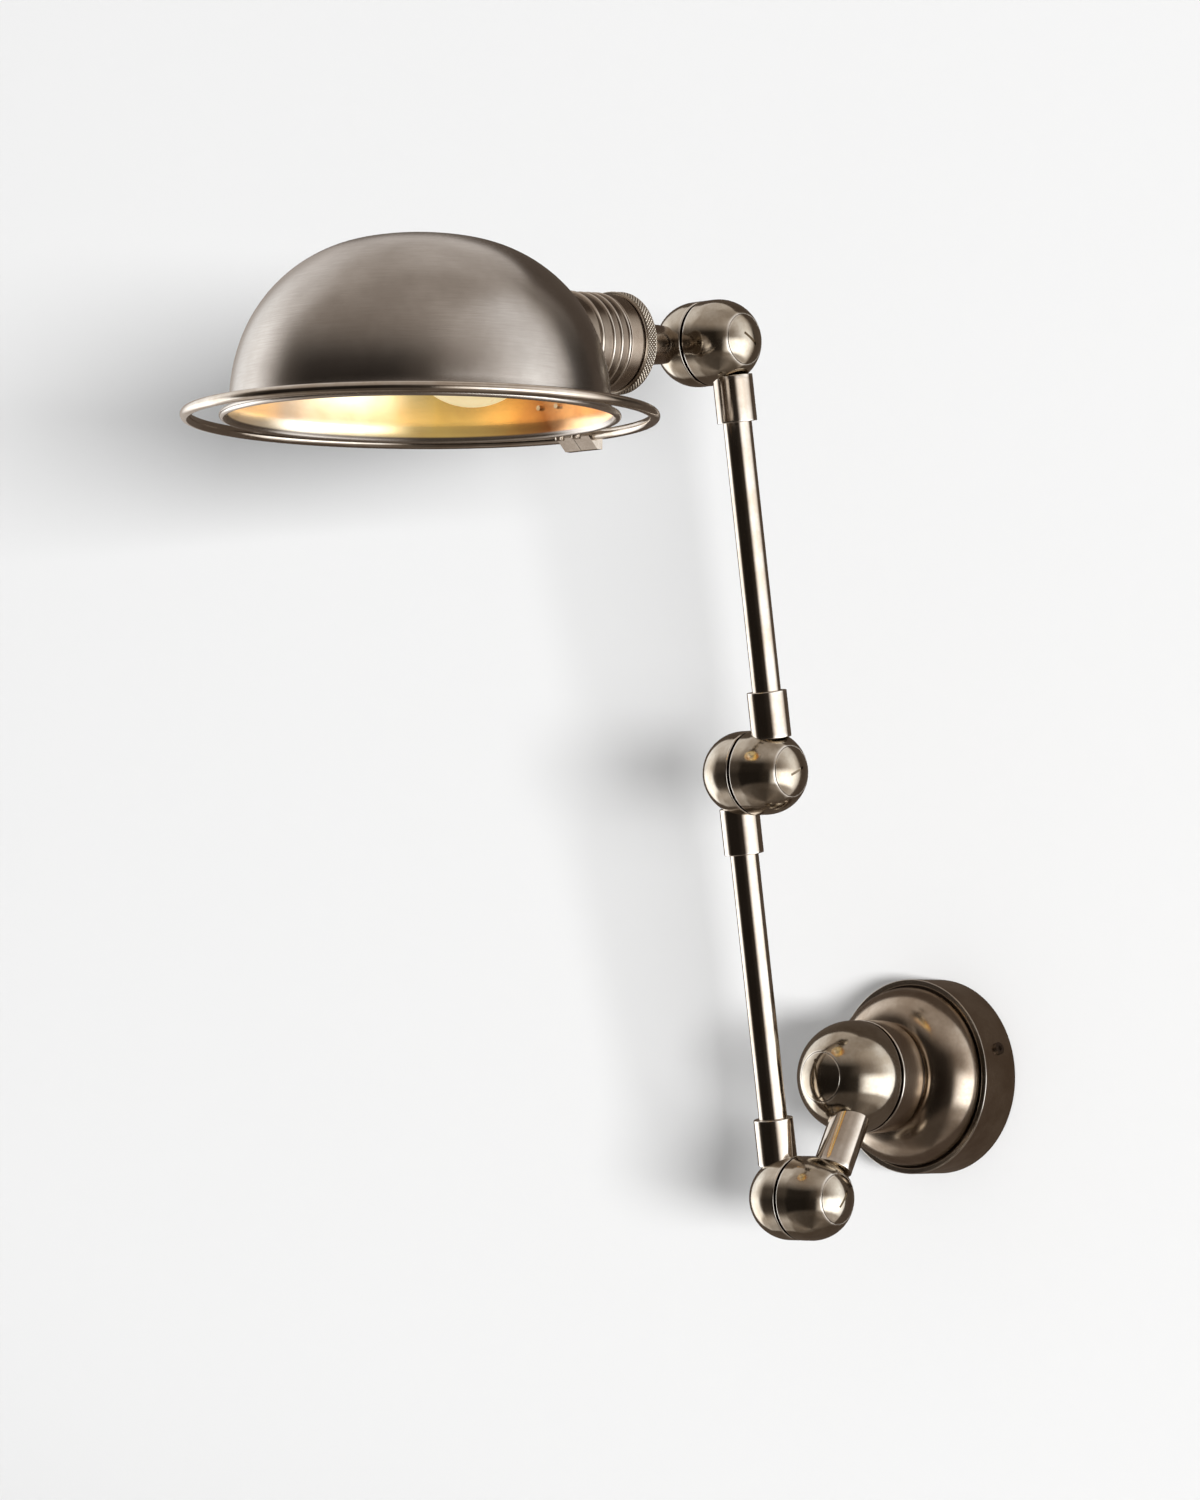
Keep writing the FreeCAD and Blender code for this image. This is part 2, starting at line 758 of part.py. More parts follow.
def ring_bracket():
    """Bent strap from the dome's side, out over the clamp blocks."""
    half = clamp_gap / 2 + clamp_width
    top = clamp_top + strap_thickness
    place = placed(shade_centre, up)
    shelf = block(Vector(-half, strap_inner, clamp_top), Vector(half, clamp_outer, top), place)
    leg = block(Vector(-half, strap_inner, clamp_top),
                Vector(half, strap_inner + strap_thickness, strap_top), place)
    strap = shelf.fuse(leg).removeSplitter()
    strap = strap.cut(dome_solid(seat_clearance))
    for side in (-1, 1):
        root = shade_centre + Vector(clamp_screw_x(side), clamp_screw_place, 0)
        strap = strap.cut(rod(root, up, clamp_screw_radius + seat_clearance, 0, 2 * top))
    for root in rivet_roots():
        strap = strap.cut(rod(root, Vector(0, 1, 0), rivet_radius + seat_clearance, 0, clamp_outer))
    return strap


def ring_clamp_screws():
    """Two screws up through the block feet and the strap."""
    screws = []
    for side in (-1, 1):
        root = shade_centre + Vector(clamp_screw_x(side), clamp_screw_place, 0)
        shank = rod(root, up, clamp_screw_radius, clamp_foot_bottom, clamp_top + strap_thickness + overrun)
        head = rod(root, up, clamp_screw_head_radius,
                   clamp_foot_bottom - clamp_screw_head_height, clamp_foot_bottom)
        screws.append(shank.fuse(head).removeSplitter())
    return screws


def rivet_roots():
    """Points on the dome's middle plane, level with the two rivets."""
    return [shade_centre + Vector(side * rivet_spacing / 2, 0, rivet_height) for side in (-1, 1)]


def bracket_rivets():
    """Two rivets through the strap's leg and the dome's wall."""
    rivets = []
    outer = strap_inner + strap_thickness
    inner = math.sqrt((dome_radius - dome_wall) ** 2 - (rivet_spacing / 2) ** 2) - 2 * rivet_head_height
    for root in rivet_roots():
        shank = rod(root, Vector(0, 1, 0), rivet_radius, inner, outer)
        head = rod(root, Vector(0, 1, 0), rivet_head_radius, outer, outer + rivet_head_height)
        rivets.append(shank.fuse(head).removeSplitter())
    return rivets


# Lampholder and bulb
def lampholder_nipple():
    """Threaded pipe from the neck's spigot to the lampholder."""
    return pipe(neck_root, collar_dir, nipple_radius, nipple_bore_radius, cap_face, holder_start)


def lampholder():
    """Moulded cup with a floor and a round cavity for the screw shell."""
    cavity = holder_radius - holder_wall
    cup = rod(neck_root, collar_dir, holder_radius, holder_start, base_end)
    return cup.cut(rod(neck_root, collar_dir, cavity, holder_start + holder_floor, base_end + overrun))


def lampholder_shell():
    """Thin metal screw shell inside the cup."""
    inner = base_radius + shell_clearance
    return pipe(neck_root, collar_dir, inner + shell_thickness - running_clearance, inner,
                holder_start + holder_floor, base_end - shell_thickness)


def bulb_base():
    """Screw base with its contact tip."""
    barrel = rod(neck_root, collar_dir, base_radius, bulb_tip + base_tip_height, base_end)
    tip = rod(neck_root, collar_dir, base_tip_radius, bulb_tip, bulb_tip + base_tip_height)
    return barrel.fuse(tip).removeSplitter()


def bulb_globe():
    """Blown globe with a flared neck, open where the base closes it."""
    def half(offset):
        radius = bulb_radius - offset
        neck = bulb_neck_radius - offset
        joint = bulb_centre - math.sqrt(radius ** 2 - neck ** 2)
        low = math.degrees(math.asin((joint - bulb_centre) / radius))
        middle = on_circle(0, bulb_centre, radius, (low + 90) / 2)
        return profile(
            (0, base_end),
            (base_radius - offset, base_end),
            (neck, joint),
            (middle, (0, bulb_centre + radius)),
        )
    place = placed(neck_root, collar_dir)
    return turned(half(0), place).cut(turned(half(bulb_glass), place))


def make_wall_parts():
    """Bracket, plate, fixed collar and the moving wall swivel."""
    export("mounting_bracket", mounting_bracket())
    export("back_plate", back_plate())
    export("plate_set_screws", plate_set_screws())
    export("wall_collar", wall_collar())
    export("wall_lock_nut", wall_lock_nut())
    export("wall_ball", wall_ball())
    export("wall_ball_cap", swivel_cap(placed(swivel_point, outward, up), ball_radius, ball_inset,
                                       ball_cap_radius, ball_slot_length, ball_slot_turn))
    export("wall_friction_washer", friction_washer(swivel_point, outward, collar_radius))
    export("wall_pivot", pivot(swivel_point, outward))
    export("wall_pivot_nut", pivot_nut(swivel_point, outward))
    export("swivel_stub", swivel_stub())


def make_knuckles():
    """Shoulder, elbow and wrist: two halves, two caps, a washer, a pivot bolt and its nut each."""
    knuckles = (
        ("shoulder", shoulder, stub_dir * -1, arm_dir),
        ("elbow", elbow, arm_dir, arm_dir * -1),
        ("wrist", wrist, arm_dir * -1, collar_dir),
    )
    for index, (name, centre, right_tube, left_tube) in enumerate(knuckles):
        slot_turn = knuckle_slot_turns[index]
        export(name + "_right_half", knuckle_half(centre, right, right_tube, pivot_radius + seat_clearance))
        export(name + "_left_half", knuckle_half(centre, left, left_tube, pivot_radius + running_clearance))
        export(name + "_right_cap", knuckle_cap(centre, right, slot_turn))
        export(name + "_left_cap", knuckle_cap(centre, left, slot_turn))
        export(name + "_friction_washer", friction_washer(centre, right, knuckle_radius))
        export(name + "_pivot", pivot(centre, right))
        export(name + "_pivot_nut", pivot_nut(centre, right))


def make_arms():
    """Two arms, each a tube in two ferrules."""
    arms = (
        ("lower_arm", shoulder + left * tube_offset, lower_arm_length),
        ("upper_arm", elbow + right * tube_offset, upper_arm_length),
    )
    for name, root, length in arms:
        export(name + "_tube", arm_tube(root, arm_dir, length))
        export(name + "_bottom_ferrule", ferrule(root, arm_dir))
        export(name + "_top_ferrule", ferrule(root + arm_dir * length, arm_dir * -1))


def make_shade_parts():
    """Neck, cap, housing, lampholder, bulb, dome and the ring with its clamp."""
    export("shade_neck", shade_neck())
    export("knurled_cap", knurled_cap())
    export("socket_housing", socket_housing())
    export("lampholder_nipple", lampholder_nipple())
    export("lampholder", lampholder())
    export("lampholder_shell", lampholder_shell())
    export("bulb_base", bulb_base())
    export("bulb_globe", bulb_globe())
    export("dome_shade", dome_shade())
    export("fitter_ring", fitter_ring())
    export("handle_ring", handle_ring())
    export("ring_clamp_blocks", ring_clamp_blocks())
    export("ring_bracket", ring_bracket())
    export("ring_clamp_screws", ring_clamp_screws())
    export("bracket_rivets", bracket_rivets())


os.makedirs("parts", exist_ok=True)
make_wall_parts()
make_knuckles()
make_arms()
make_shade_parts()
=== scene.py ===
# %% [markdown]
# # A jointed wall lamp in antiqued nickel
# The imported CAD model gives every piece its place and size. This notebook dresses it: it builds
# smooth surfaces for the metal that shows, gives each piece its finish, and sets up a small studio.
# The frame is loaded first.

# %% Load the frame
import json
import math

import bmesh
import bpy
import numpy as np
from mathutils import Matrix, Vector


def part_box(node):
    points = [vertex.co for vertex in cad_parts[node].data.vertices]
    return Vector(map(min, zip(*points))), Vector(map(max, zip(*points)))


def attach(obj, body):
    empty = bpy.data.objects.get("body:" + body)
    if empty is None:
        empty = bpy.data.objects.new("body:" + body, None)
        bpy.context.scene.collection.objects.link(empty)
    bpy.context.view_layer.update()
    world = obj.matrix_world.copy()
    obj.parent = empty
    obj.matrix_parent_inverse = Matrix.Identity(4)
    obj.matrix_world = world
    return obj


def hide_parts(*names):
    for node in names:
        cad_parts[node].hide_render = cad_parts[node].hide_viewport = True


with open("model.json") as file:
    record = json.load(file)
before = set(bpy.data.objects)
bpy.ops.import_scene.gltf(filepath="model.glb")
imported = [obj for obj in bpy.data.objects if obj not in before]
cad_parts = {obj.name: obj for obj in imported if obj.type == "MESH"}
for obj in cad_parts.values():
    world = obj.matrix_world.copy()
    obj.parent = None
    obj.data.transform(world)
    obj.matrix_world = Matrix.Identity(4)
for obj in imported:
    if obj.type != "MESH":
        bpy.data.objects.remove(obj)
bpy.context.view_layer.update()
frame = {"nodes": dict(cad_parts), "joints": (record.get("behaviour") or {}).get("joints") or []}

# %% [markdown]
# ## Where things are
# The four joints give the centres of the lamp's swivels, and the ring's box gives the middle of the
# shade. The other pieces are placed from these points. Sizes are in millimetres, and MM turns them
# into Blender's metres at the last moment.

# %% Points and directions
MM = 0.001
RIGHT = np.array([1.0, 0.0, 0.0])
OUT = np.array([0.0, -1.0, 0.0])
UP = np.array([0.0, 0.0, 1.0])

pivot_at = {joint["name"]: np.array(joint["pos_m"]) / MM for joint in frame["joints"]}
swivel = pivot_at["wall_turn"]
shoulder = pivot_at["shoulder_tilt"]
elbow = pivot_at["elbow_tilt"]
wrist = pivot_at["wrist_tilt"]

tube_offset = 15.9
stub_side = 9.0
collar_rise = math.radians(4.4)


def unit(v):
    """A vector divided by its own length."""
    return v / np.linalg.norm(v)


def node_middle(node):
    """Centre of a CAD node's box, in millimetres."""
    return np.mean(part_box(node), axis=0) / MM


shade_centre = node_middle("handle_ring")
arm_dir = unit(elbow - shoulder)
arm_length = np.linalg.norm(elbow - shoulder)
collar_dir = np.array([0, -math.cos(collar_rise), -math.sin(collar_rise)])
neck_root = np.array([shade_centre[0], wrist[1], wrist[2]])

# %% [markdown]
# ## Outlines
# Nearly every piece of this lamp was turned or spun on a lathe, so a piece begins as an outline: its
# cut through the axis, as pairs of radius and height. Real edges are never perfectly sharp, and the
# thin bright lines of the lamp are the light on those small roundings, so a helper rounds the corners.

# %% Outline helpers
def arc(centre, radius, start, end, steps):
    """Points on a circle: the centre plus the radius times cosine and sine, between two angles."""
    turn = np.radians(np.linspace(start, end, steps))
    return np.column_stack([centre[0] + radius * np.cos(turn), centre[1] + radius * np.sin(turn)])


def bend(first, corner, last, t):
    """Curve from A to B that is drawn towards the corner C: (1-t)^2 A + 2t(1-t) C + t^2 B."""
    return (1 - t) ** 2 * first + 2 * t * (1 - t) * corner + t ** 2 * last


def rounded(outline, cut, steps=5):
    """Outline whose corners of more than 18 degrees are curves between two points a short cut away.

    The cut is never more than 0.4 of the way to the next corner, and a point on the axis stays as it is.
    """
    p = np.asarray(outline, float)
    before, after = p[1:-1] - p[:-2], p[2:] - p[1:-1]
    long_in = np.linalg.norm(before, axis=1, keepdims=True)
    long_out = np.linalg.norm(after, axis=1, keepdims=True)
    a = p[1:-1] - before / long_in * np.minimum(cut, 0.4 * long_in)
    b = p[1:-1] + after / long_out * np.minimum(cut, 0.4 * long_out)
    curve = bend(a[:, None], p[1:-1, None], b[:, None], np.linspace(0, 1, steps)[None, :, None])
    sharp = ((before * after).sum(1) < 0.95 * (long_in * long_out)[:, 0]) & (p[1:-1, 0] > 0.01)
    middle = [c if s else q[None] for c, s, q in zip(curve, sharp, p[1:-1])]
    return np.vstack([p[:1], *middle, p[-1:]])


def length_along(outline):
    """Distance of each point from the start, measured along the outline."""
    return np.concatenate([[0], np.cumsum(np.linalg.norm(np.diff(outline, axis=0), axis=1))])


def refined(outline, step):
    """The same outline with extra points, so that two neighbours are at most about a step apart."""
    s = length_along(outline)
    extra = np.arange(0, s[-1], step)
    near = np.abs(extra[:, None] - s[None]).min(1) < 0.2 * step
    every = np.sort(np.concatenate([s, extra[~near]]))
    return np.column_stack([np.interp(every, s, outline[:, 0]), np.interp(every, s, outline[:, 1])])


# %% [markdown]
# ## Where hands and polish have been
# Antiqued nickel is darkened all over and then burnished: edges lose the dark film and grooves keep
# it. The outline turns one way at an edge and the other way in a groove, so its own turning says
# where these places are. The result goes into the mesh as an attribute.

# %% Burnish from the outline
full_wear_turn = 1.4


def burnish_of(outline, spread=0.7):
    """Turning of the outline near each point, from -1 in a groove to 1 at an edge.

    It is the sum of turns weighted by exp(-distance^2 / 2 spread^2), over the turn that counts as full.
    """
    p = np.asarray(outline)
    s = length_along(p)
    heading = np.unwrap(np.arctan2(np.diff(p[:, 1]), np.diff(p[:, 0])))
    turn = np.concatenate([[0], np.diff(heading), [0]]) * (p[:, 0] > 0.01)
    loop = np.vstack([p, p[:1]])
    area = np.sum(loop[:-1, 0] * loop[1:, 1] - loop[1:, 0] * loop[:-1, 1])
    weight = np.exp(-((s[:, None] - s[None]) ** 2) / (2 * spread ** 2))
    return np.clip(np.sign(area) * (weight @ turn) / full_wear_turn, -1, 1)


# %% [markdown]
# ## From outline to surface
# A turned surface is a grid: one row for each point of the outline, one column for each step round the
# axis. Where an outline touches the axis, the row shrinks to one point, so doubles are merged there
# and the pole is closed.

# %% Surface helpers
def surface(name, grid, burnish=None):
    """Mesh of quads over rows by columns of points. Each quad joins a point to the next row and column."""
    rows, columns = grid.shape[:2]
    number = np.arange(rows * columns).reshape(rows, columns)
    r, c = np.arange(rows - 1)[:, None], np.arange(columns)[None]
    c2 = (c + 1) % columns
    quads = np.stack([number[r, c], number[r, c2], number[r + 1, c2], number[r + 1, c]], -1).reshape(-1, 4)
    mesh = bpy.data.meshes.new(name)
    mesh.vertices.add(rows * columns)
    mesh.vertices.foreach_set("co", (grid * MM).astype(np.float32).ravel())
    mesh.loops.add(quads.size)
    mesh.loops.foreach_set("vertex_index", quads.astype(np.int32).ravel())
    mesh.polygons.add(len(quads))
    mesh.polygons.foreach_set("loop_start", np.arange(0, quads.size, 4, dtype=np.int32))
    mesh.update(calc_edges=True)
    worn = mesh.attributes.new("burnish", "FLOAT", "POINT")
    value = np.zeros(rows) if burnish is None else burnish
    value = np.repeat(value, columns) if value.ndim == 1 else value.ravel()
    worn.data.foreach_set("value", value.astype(np.float32))
    u, v = c + 0 * r, r + 0 * c
    u, v = np.stack([u, u + 1, u + 1, u], -1) / columns, np.stack([v, v, v + 1, v + 1], -1) / rows
    around = mesh.uv_layers.new(name="spin")
    around.data.foreach_set("uv", np.stack([u, v], -1).astype(np.float32).ravel())
    return closed_and_smooth(mesh)


def closed_and_smooth(mesh):
    """Merges doubles at poles, turns the faces outwards and shades them smooth."""
    work = bmesh.new()
    work.from_mesh(mesh)
    bmesh.ops.remove_doubles(work, verts=work.verts, dist=1e-7)
    bmesh.ops.dissolve_degenerate(work, edges=work.edges, dist=1e-8)
    bmesh.ops.recalc_face_normals(work, faces=work.faces)
    work.to_mesh(mesh)
    work.free()
    mesh.polygons.foreach_set("use_smooth", np.ones(len(mesh.polygons), bool))
    mesh.update()
    return mesh


def spokes(axis, columns):
    """Directions square to an axis: cosine * across + sine * other, for each step round it."""
    across = unit(np.cross(np.eye(3)[np.argmin(np.abs(axis))], axis))
    turn = np.linspace(0, 2 * np.pi, columns, endpoint=False)[:, None]
    return np.cos(turn) * across + np.sin(turn) * np.cross(axis, across)


def turned_grid(outline, origin, axis, columns):
    """Point = origin + height * axis + radius * spoke, for each outline point and each spoke."""
    return origin + outline[:, None, 1:] * axis + outline[:, None, :1] * spokes(axis, columns)


def lathe(name, outline, origin, axis, columns=96, cut=0.35, step=1.5, film=None):
    """Mesh of an outline turned about an axis, with rounded corners. Film says how dark a point stays."""
    fine = refined(rounded(outline, cut), step)
    shine = burnish_of(fine)
    if film is not None:
        dark = film(fine[:, 0], fine[:, 1])
        shine = np.where(dark > 0, -1.0 * dark, shine)
    return surface(name, turned_grid(fine, origin, unit(axis), columns), shine)


def linked(name, data):
    """New object in the scene."""
    thing = bpy.data.objects.new(name, data)
    bpy.context.scene.collection.objects.link(thing)
    return thing


def add_piece(name, mesh, body, node, finish):
    """Puts a mesh in the scene, on its CAD body, in place of its CAD node."""
    piece = linked(name, mesh)
    mesh.materials.append(finish)
    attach(piece, body)
    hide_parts(node)


def turned_piece(name, node, body, finish, outline, origin, axis, **form):
    """An outline turned about an axis, as a piece in place of its CAD node."""
    add_piece(name, lathe(name, outline, origin, axis, **form), body, node, finish)


# %% [markdown]
# ## Antiqued nickel
# The metal is warm grey, with a dark film that was rubbed off unevenly. Two sizes of noise mix a
# lighter and a darker tone, the burnish attribute whitens edges and darkens grooves, and the same
# noise changes the roughness a little, because a reflection in old metal is never equally sharp.
# Everything reads Object coordinates, so the pattern stays on its piece when the lamp moves.

# %% Material helpers
class Nodes:
    """A node tree, with short ways to add nodes. A value is a number, a colour or another node's output."""

    def __init__(self, tree):
        self.tree = tree

    def give(self, socket, value):
        """Joins an output to the input, or sets the input's value."""
        if isinstance(value, bpy.types.NodeSocket):
            self.tree.links.new(value, socket)
        else:
            socket.default_value = (*value, 1) if socket.type == "RGBA" else value

    def feed(self, node, **named):
        """Gives values to the inputs with these names. Other names are properties of the node."""
        for key, value in named.items():
            if key in node.inputs:
                self.give(node.inputs[key], value)
            else:
                setattr(node, key, value)
        return node

    def add(self, kind, *first, **named):
        """New node. The unnamed values go to its first inputs in turn."""
        node = self.tree.nodes.new(kind)
        for socket, value in zip(node.inputs, first):
            self.give(socket, value)
        return self.feed(node, **named)

    def noise(self, source, scale, detail=3.0):
        """Noise texture on a vector."""
        node = self.add("ShaderNodeTexNoise", source, Scale=scale, Detail=detail, Roughness=0.55)
        return node.outputs["Fac"]

    def mapped(self, source, **move):
        """Vector that is moved, turned or stretched."""
        return self.add("ShaderNodeMapping", source, **move).outputs["Vector"]

    def maths(self, operation, *values):
        """Result of one operation on numbers."""
        return self.add("ShaderNodeMath", *values, operation=operation).outputs[0]

    def spread(self, value, low, high, new_low, new_high):
        """Value moved from one range to another, and held inside it."""
        ranges = {"From Min": low, "From Max": high, "To Min": new_low, "To Max": new_high}
        return self.add("ShaderNodeMapRange", value, **ranges).outputs["Result"]

    def mixed(self, factor, first, second):
        """Colour between two colours: the first where the factor is 0, the second where it is 1."""
        node = self.add("ShaderNodeMix", data_type="RGBA", Factor=factor)
        for socket, value in zip([s for s in node.inputs if s.type == "RGBA"], (first, second)):
            self.give(socket, value)
        return [s for s in node.outputs if s.type == "RGBA"][0]

    def ramp(self, value, stops):
        """Colour that runs between the stops, each a position and a colour."""
        node = self.add("ShaderNodeValToRGB", value)
        points = node.color_ramp.elements
        while len(points) < len(stops):
            points.new(0.5)
        for point, (position, colour) in zip(points, stops):
            point.position, point.color = position, (*colour, 1)
        return node.outputs[0]

    def bump(self, height, strength, distance):
        """Normal of a fine relief."""
        node = self.add("ShaderNodeBump", Height=height, Strength=strength, Distance=distance)
        return node.outputs["Normal"]


def new_material(name):
    """Node material, with its nodes, its shader and the Object coordinates that its pattern reads."""
    material = bpy.data.materials.new(name)
    material.use_nodes = True
    nodes = Nodes(material.node_tree)
    place = nodes.add("ShaderNodeTexCoord").outputs["Object"]
    return material, nodes, material.node_tree.nodes["Principled BSDF"], place


rubbed_edge, dark_film = (0.86, 0.82, 0.76), (0.05, 0.035, 0.025)


def nickel(name, light, dark, roughness, patch=55.0):
    """Burnished metal: patches of two tones, bright edges, dark grooves and uneven gloss."""
    material, nodes, shader, place = new_material(name)
    broad, small = nodes.noise(place, patch, 4.0), nodes.noise(place, patch * 9, 2.0)
    worn = nodes.add("ShaderNodeAttribute", attribute_name="burnish").outputs["Fac"]
    tone = nodes.mixed(nodes.spread(broad, 0.36, 0.64, 0.0, 0.6), light, dark)
    tone = nodes.mixed(nodes.spread(small, 0.3, 0.75, 0.0, 0.22), tone, dark)
    tone = nodes.mixed(nodes.spread(worn, 0.25, 0.9, 0.0, 0.7), tone, rubbed_edge)
    tone = nodes.mixed(nodes.spread(worn, -0.2, -0.85, 0.0, 0.9), tone, dark_film)
    gloss = nodes.spread(broad, 0.3, 0.7, roughness * 0.85, roughness * 1.25)
    nodes.feed(shader, **{"Base Color": tone, "Roughness": gloss, "Metallic": 1.0,
                          "Normal": nodes.bump(small, 0.05, 0.0002)})
    return material


# %% [markdown]
# The tubes and ferrules are the brightest and glossiest metal, the balls and the plate are a little
# browner, and the neck and the socket housing are the darkest. One function makes them all.

# %% Nickel finishes
tube_nickel = nickel("tube_nickel", (0.62, 0.57, 0.51), (0.44, 0.36, 0.28), 0.11)
ball_nickel = nickel("ball_nickel", (0.57, 0.525, 0.45), (0.34, 0.27, 0.19), 0.12)
plate_nickel = nickel("plate_nickel", (0.54, 0.47, 0.39), (0.33, 0.25, 0.18), 0.18)
collar_nickel = nickel("collar_nickel", (0.48, 0.42, 0.35), (0.28, 0.21, 0.16), 0.18)

# %% [markdown]
# ## Back plate
# The plate is a spun canopy: a deep rim, a flat ledge, a fine groove and a full round bulge that runs
# up to the collar. The outline follows the CAD values, with one arc for the bulge.

# %% Back plate
plate_radius, plate_rim_depth, plate_wall, ledge_wall = 60.0, 28.8, 2.0, 2.8
plate_step, groove_width, groove_depth = 3.6, 1.2, 1.2
plate_neck, plate_lip, plate_bore = 31.0, 29.0, 21.0
groove_out = plate_radius - plate_step
groove_in = groove_out - groove_width
bulge_radius = groove_in - plate_neck
crown_depth = plate_rim_depth + bulge_radius
plate_depth = crown_depth + plate_wall

plate_outline = np.vstack([
    (plate_radius - plate_wall, 0),
    (plate_radius, 0),
    (plate_radius, plate_rim_depth),
    (groove_out, plate_rim_depth),
    (groove_out, plate_rim_depth - groove_depth),
    (groove_in, plate_rim_depth - groove_depth),
    arc((plate_neck, plate_rim_depth), bulge_radius, 0, 89, 40),
    (plate_neck, plate_depth),
    (plate_bore, plate_depth),
    (plate_bore, crown_depth),
    (plate_lip, crown_depth),
    (plate_lip, crown_depth - plate_wall),
    arc((plate_neck, plate_rim_depth), bulge_radius - plate_wall, 89, 1, 24),
    (plate_neck + bulge_radius - plate_wall, plate_rim_depth - ledge_wall),
    (plate_radius - plate_wall, plate_rim_depth - ledge_wall),
    (plate_radius - plate_wall, 0),
])
turned_piece("canopy", "back_plate", "wall_base", plate_nickel, plate_outline, np.zeros(3), OUT, columns=192,
             cut=0.5, film=lambda r, h: 0.12 * ((r > plate_radius - 0.05) & (h < plate_rim_depth - 0.9)))

# %% [markdown]
# ## Halves of the swivels
# A swivel is a ball cut in two by a narrow groove. Each half is a short cylinder that runs into a
# sphere, and a cap with a screwdriver slot closes it and carries the sphere on. The fixed half on the
# wall is a plain collar with a rounded back edge. A form holds three sizes: the ball's radius, how far
# the sphere's centre is from the middle of the groove, and the cap's radius.

# %% Half balls
knuckle_form = (25.5, 8.3, 15.2)
ball_form = (34.4, 5.7, 15.3)
swivel_gap, swivel_edge, web, pivot_bore = 2.0, 0.5, 5.0, 5.1
cap_ledge, cap_shelf, cap_slack, cap_lift = 2.2, 2.0, 0.12, 0.05
slot_width, slot_depth = 1.6, 1.8


def half_ball_outline(radius, inset, cap_radius):
    """Web, rim, short cylinder and sphere arc, up to the seat of the cap."""
    rim = swivel_gap / 2
    seat = math.degrees(math.acos(cap_radius / radius))
    ledge = inset + radius * math.sin(math.radians(seat)) - cap_ledge
    return np.vstack([
        (pivot_bore, rim + web),
        (pivot_bore, rim),
        (radius - swivel_edge, rim),
        (radius, rim + swivel_edge),
        (radius, inset),
        arc((0, inset), radius, 2, seat, 28),
        (cap_radius, ledge),
        (cap_radius - cap_shelf, ledge),
        (cap_radius - cap_shelf, rim + web),
        (pivot_bore, rim + web),
    ])


def cap_outline(radius, inset, cap_radius):
    """Dome of the cap from its edge to the crown, with a flat underside."""
    edge = cap_radius - cap_slack
    start = math.degrees(math.acos(edge / radius))
    underside = inset + radius * math.sin(math.radians(start)) - cap_ledge + cap_lift
    return np.vstack([(0, underside), (edge, underside), arc((0, inset), radius, start, 90, 24)])


def carved(mesh, low, high, across, along, axis, origin):
    """Mesh with a box taken out of it. The box lies between two corners in the given directions."""
    local = np.where(list(np.ndindex(2, 2, 2)), high, low)
    corners = (origin + local @ np.array([across, along, axis])) * MM
    faces = [(0, 1, 3, 2), (4, 6, 7, 5), (0, 4, 5, 1), (2, 3, 7, 6), (0, 2, 6, 4), (1, 5, 7, 3)]
    tool = bpy.data.meshes.new("slot_tool")
    tool.from_pydata(corners.tolist(), [], faces)
    return cut_with(mesh, tool)


def cut_with(mesh, tool):
    """The mesh less the tool, by a boolean. Its two helper objects are removed again."""
    holder, cutter = linked("to_cut", mesh), linked("tool", tool)
    cut = holder.modifiers.new("cut", "BOOLEAN")
    cut.operation, cut.solver, cut.object = "DIFFERENCE", "EXACT", cutter
    graph = bpy.context.evaluated_depsgraph_get()
    result = bpy.data.meshes.new_from_object(holder.evaluated_get(graph))
    for item in (holder, cutter):
        bpy.data.objects.remove(item)
    result.set_sharp_from_angle(angle=math.radians(32))
    return result


def half_ball(name, node, body, centre, axis, radius, inset, cap_radius):
    """One half of a swivel on its CAD body, with dark film on the face in the groove."""
    turned_piece(name, node, body, ball_nickel, half_ball_outline(radius, inset, cap_radius), centre, axis,
                 columns=160, film=lambda r, h: (h < swivel_gap / 2 + 0.1) & (r < radius - 0.3))


def slotted_cap(name, node, body, centre, axis, radius, inset, cap_radius, slot_length, slot_turn):
    """Cap whose slot is turned from the vertical by an angle in degrees."""
    mesh = lathe(name, cap_outline(radius, inset, cap_radius), centre, axis, cut=0.3, step=1.0)
    angle, crown = math.radians(slot_turn), inset + radius
    along = UP * math.cos(angle) + np.cross(UP, axis) * math.sin(angle)
    low = (-slot_length / 2, -slot_width / 2, crown - slot_depth)
    high = (slot_length / 2, slot_width / 2, crown + 2)
    mesh = carved(mesh, low, high, along, np.cross(axis, along), axis, centre)
    add_piece(name, mesh, body, node, ball_nickel)


# %% [markdown]
# ## The wall swivel
# The collar is fixed to the plate. The ball turns on it, and its slotted cap faces the room. The stub
# leaves the ball's lower side and ends in the shoulder.

# %% Wall collar, ball, cap and stub
collar_radius, collar_length, collar_rounding = 34.6, 21.3, 3.6
spigot_radius, spigot_length, spigot_bore = 20.0, 10.0, 14.0
collar_front = plate_depth + collar_length
collar_outline = np.vstack([
    (pivot_bore, collar_front),
    (collar_radius - swivel_edge, collar_front),
    (collar_radius, collar_front - swivel_edge),
    arc((collar_radius - collar_rounding, plate_depth + collar_rounding), collar_rounding, 0, -90, 10),
    (spigot_radius, plate_depth),
    (spigot_radius, plate_depth - spigot_length),
    (spigot_bore, plate_depth - spigot_length),
    (spigot_bore, collar_front - web),
    (pivot_bore, collar_front - web),
    (pivot_bore, collar_front),
])
turned_piece("swivel_collar", "wall_collar", "wall_base", plate_nickel, collar_outline, np.zeros(3), OUT,
             columns=160, film=lambda r, h: (h > collar_front - 0.1) & (r < collar_radius - 0.3))

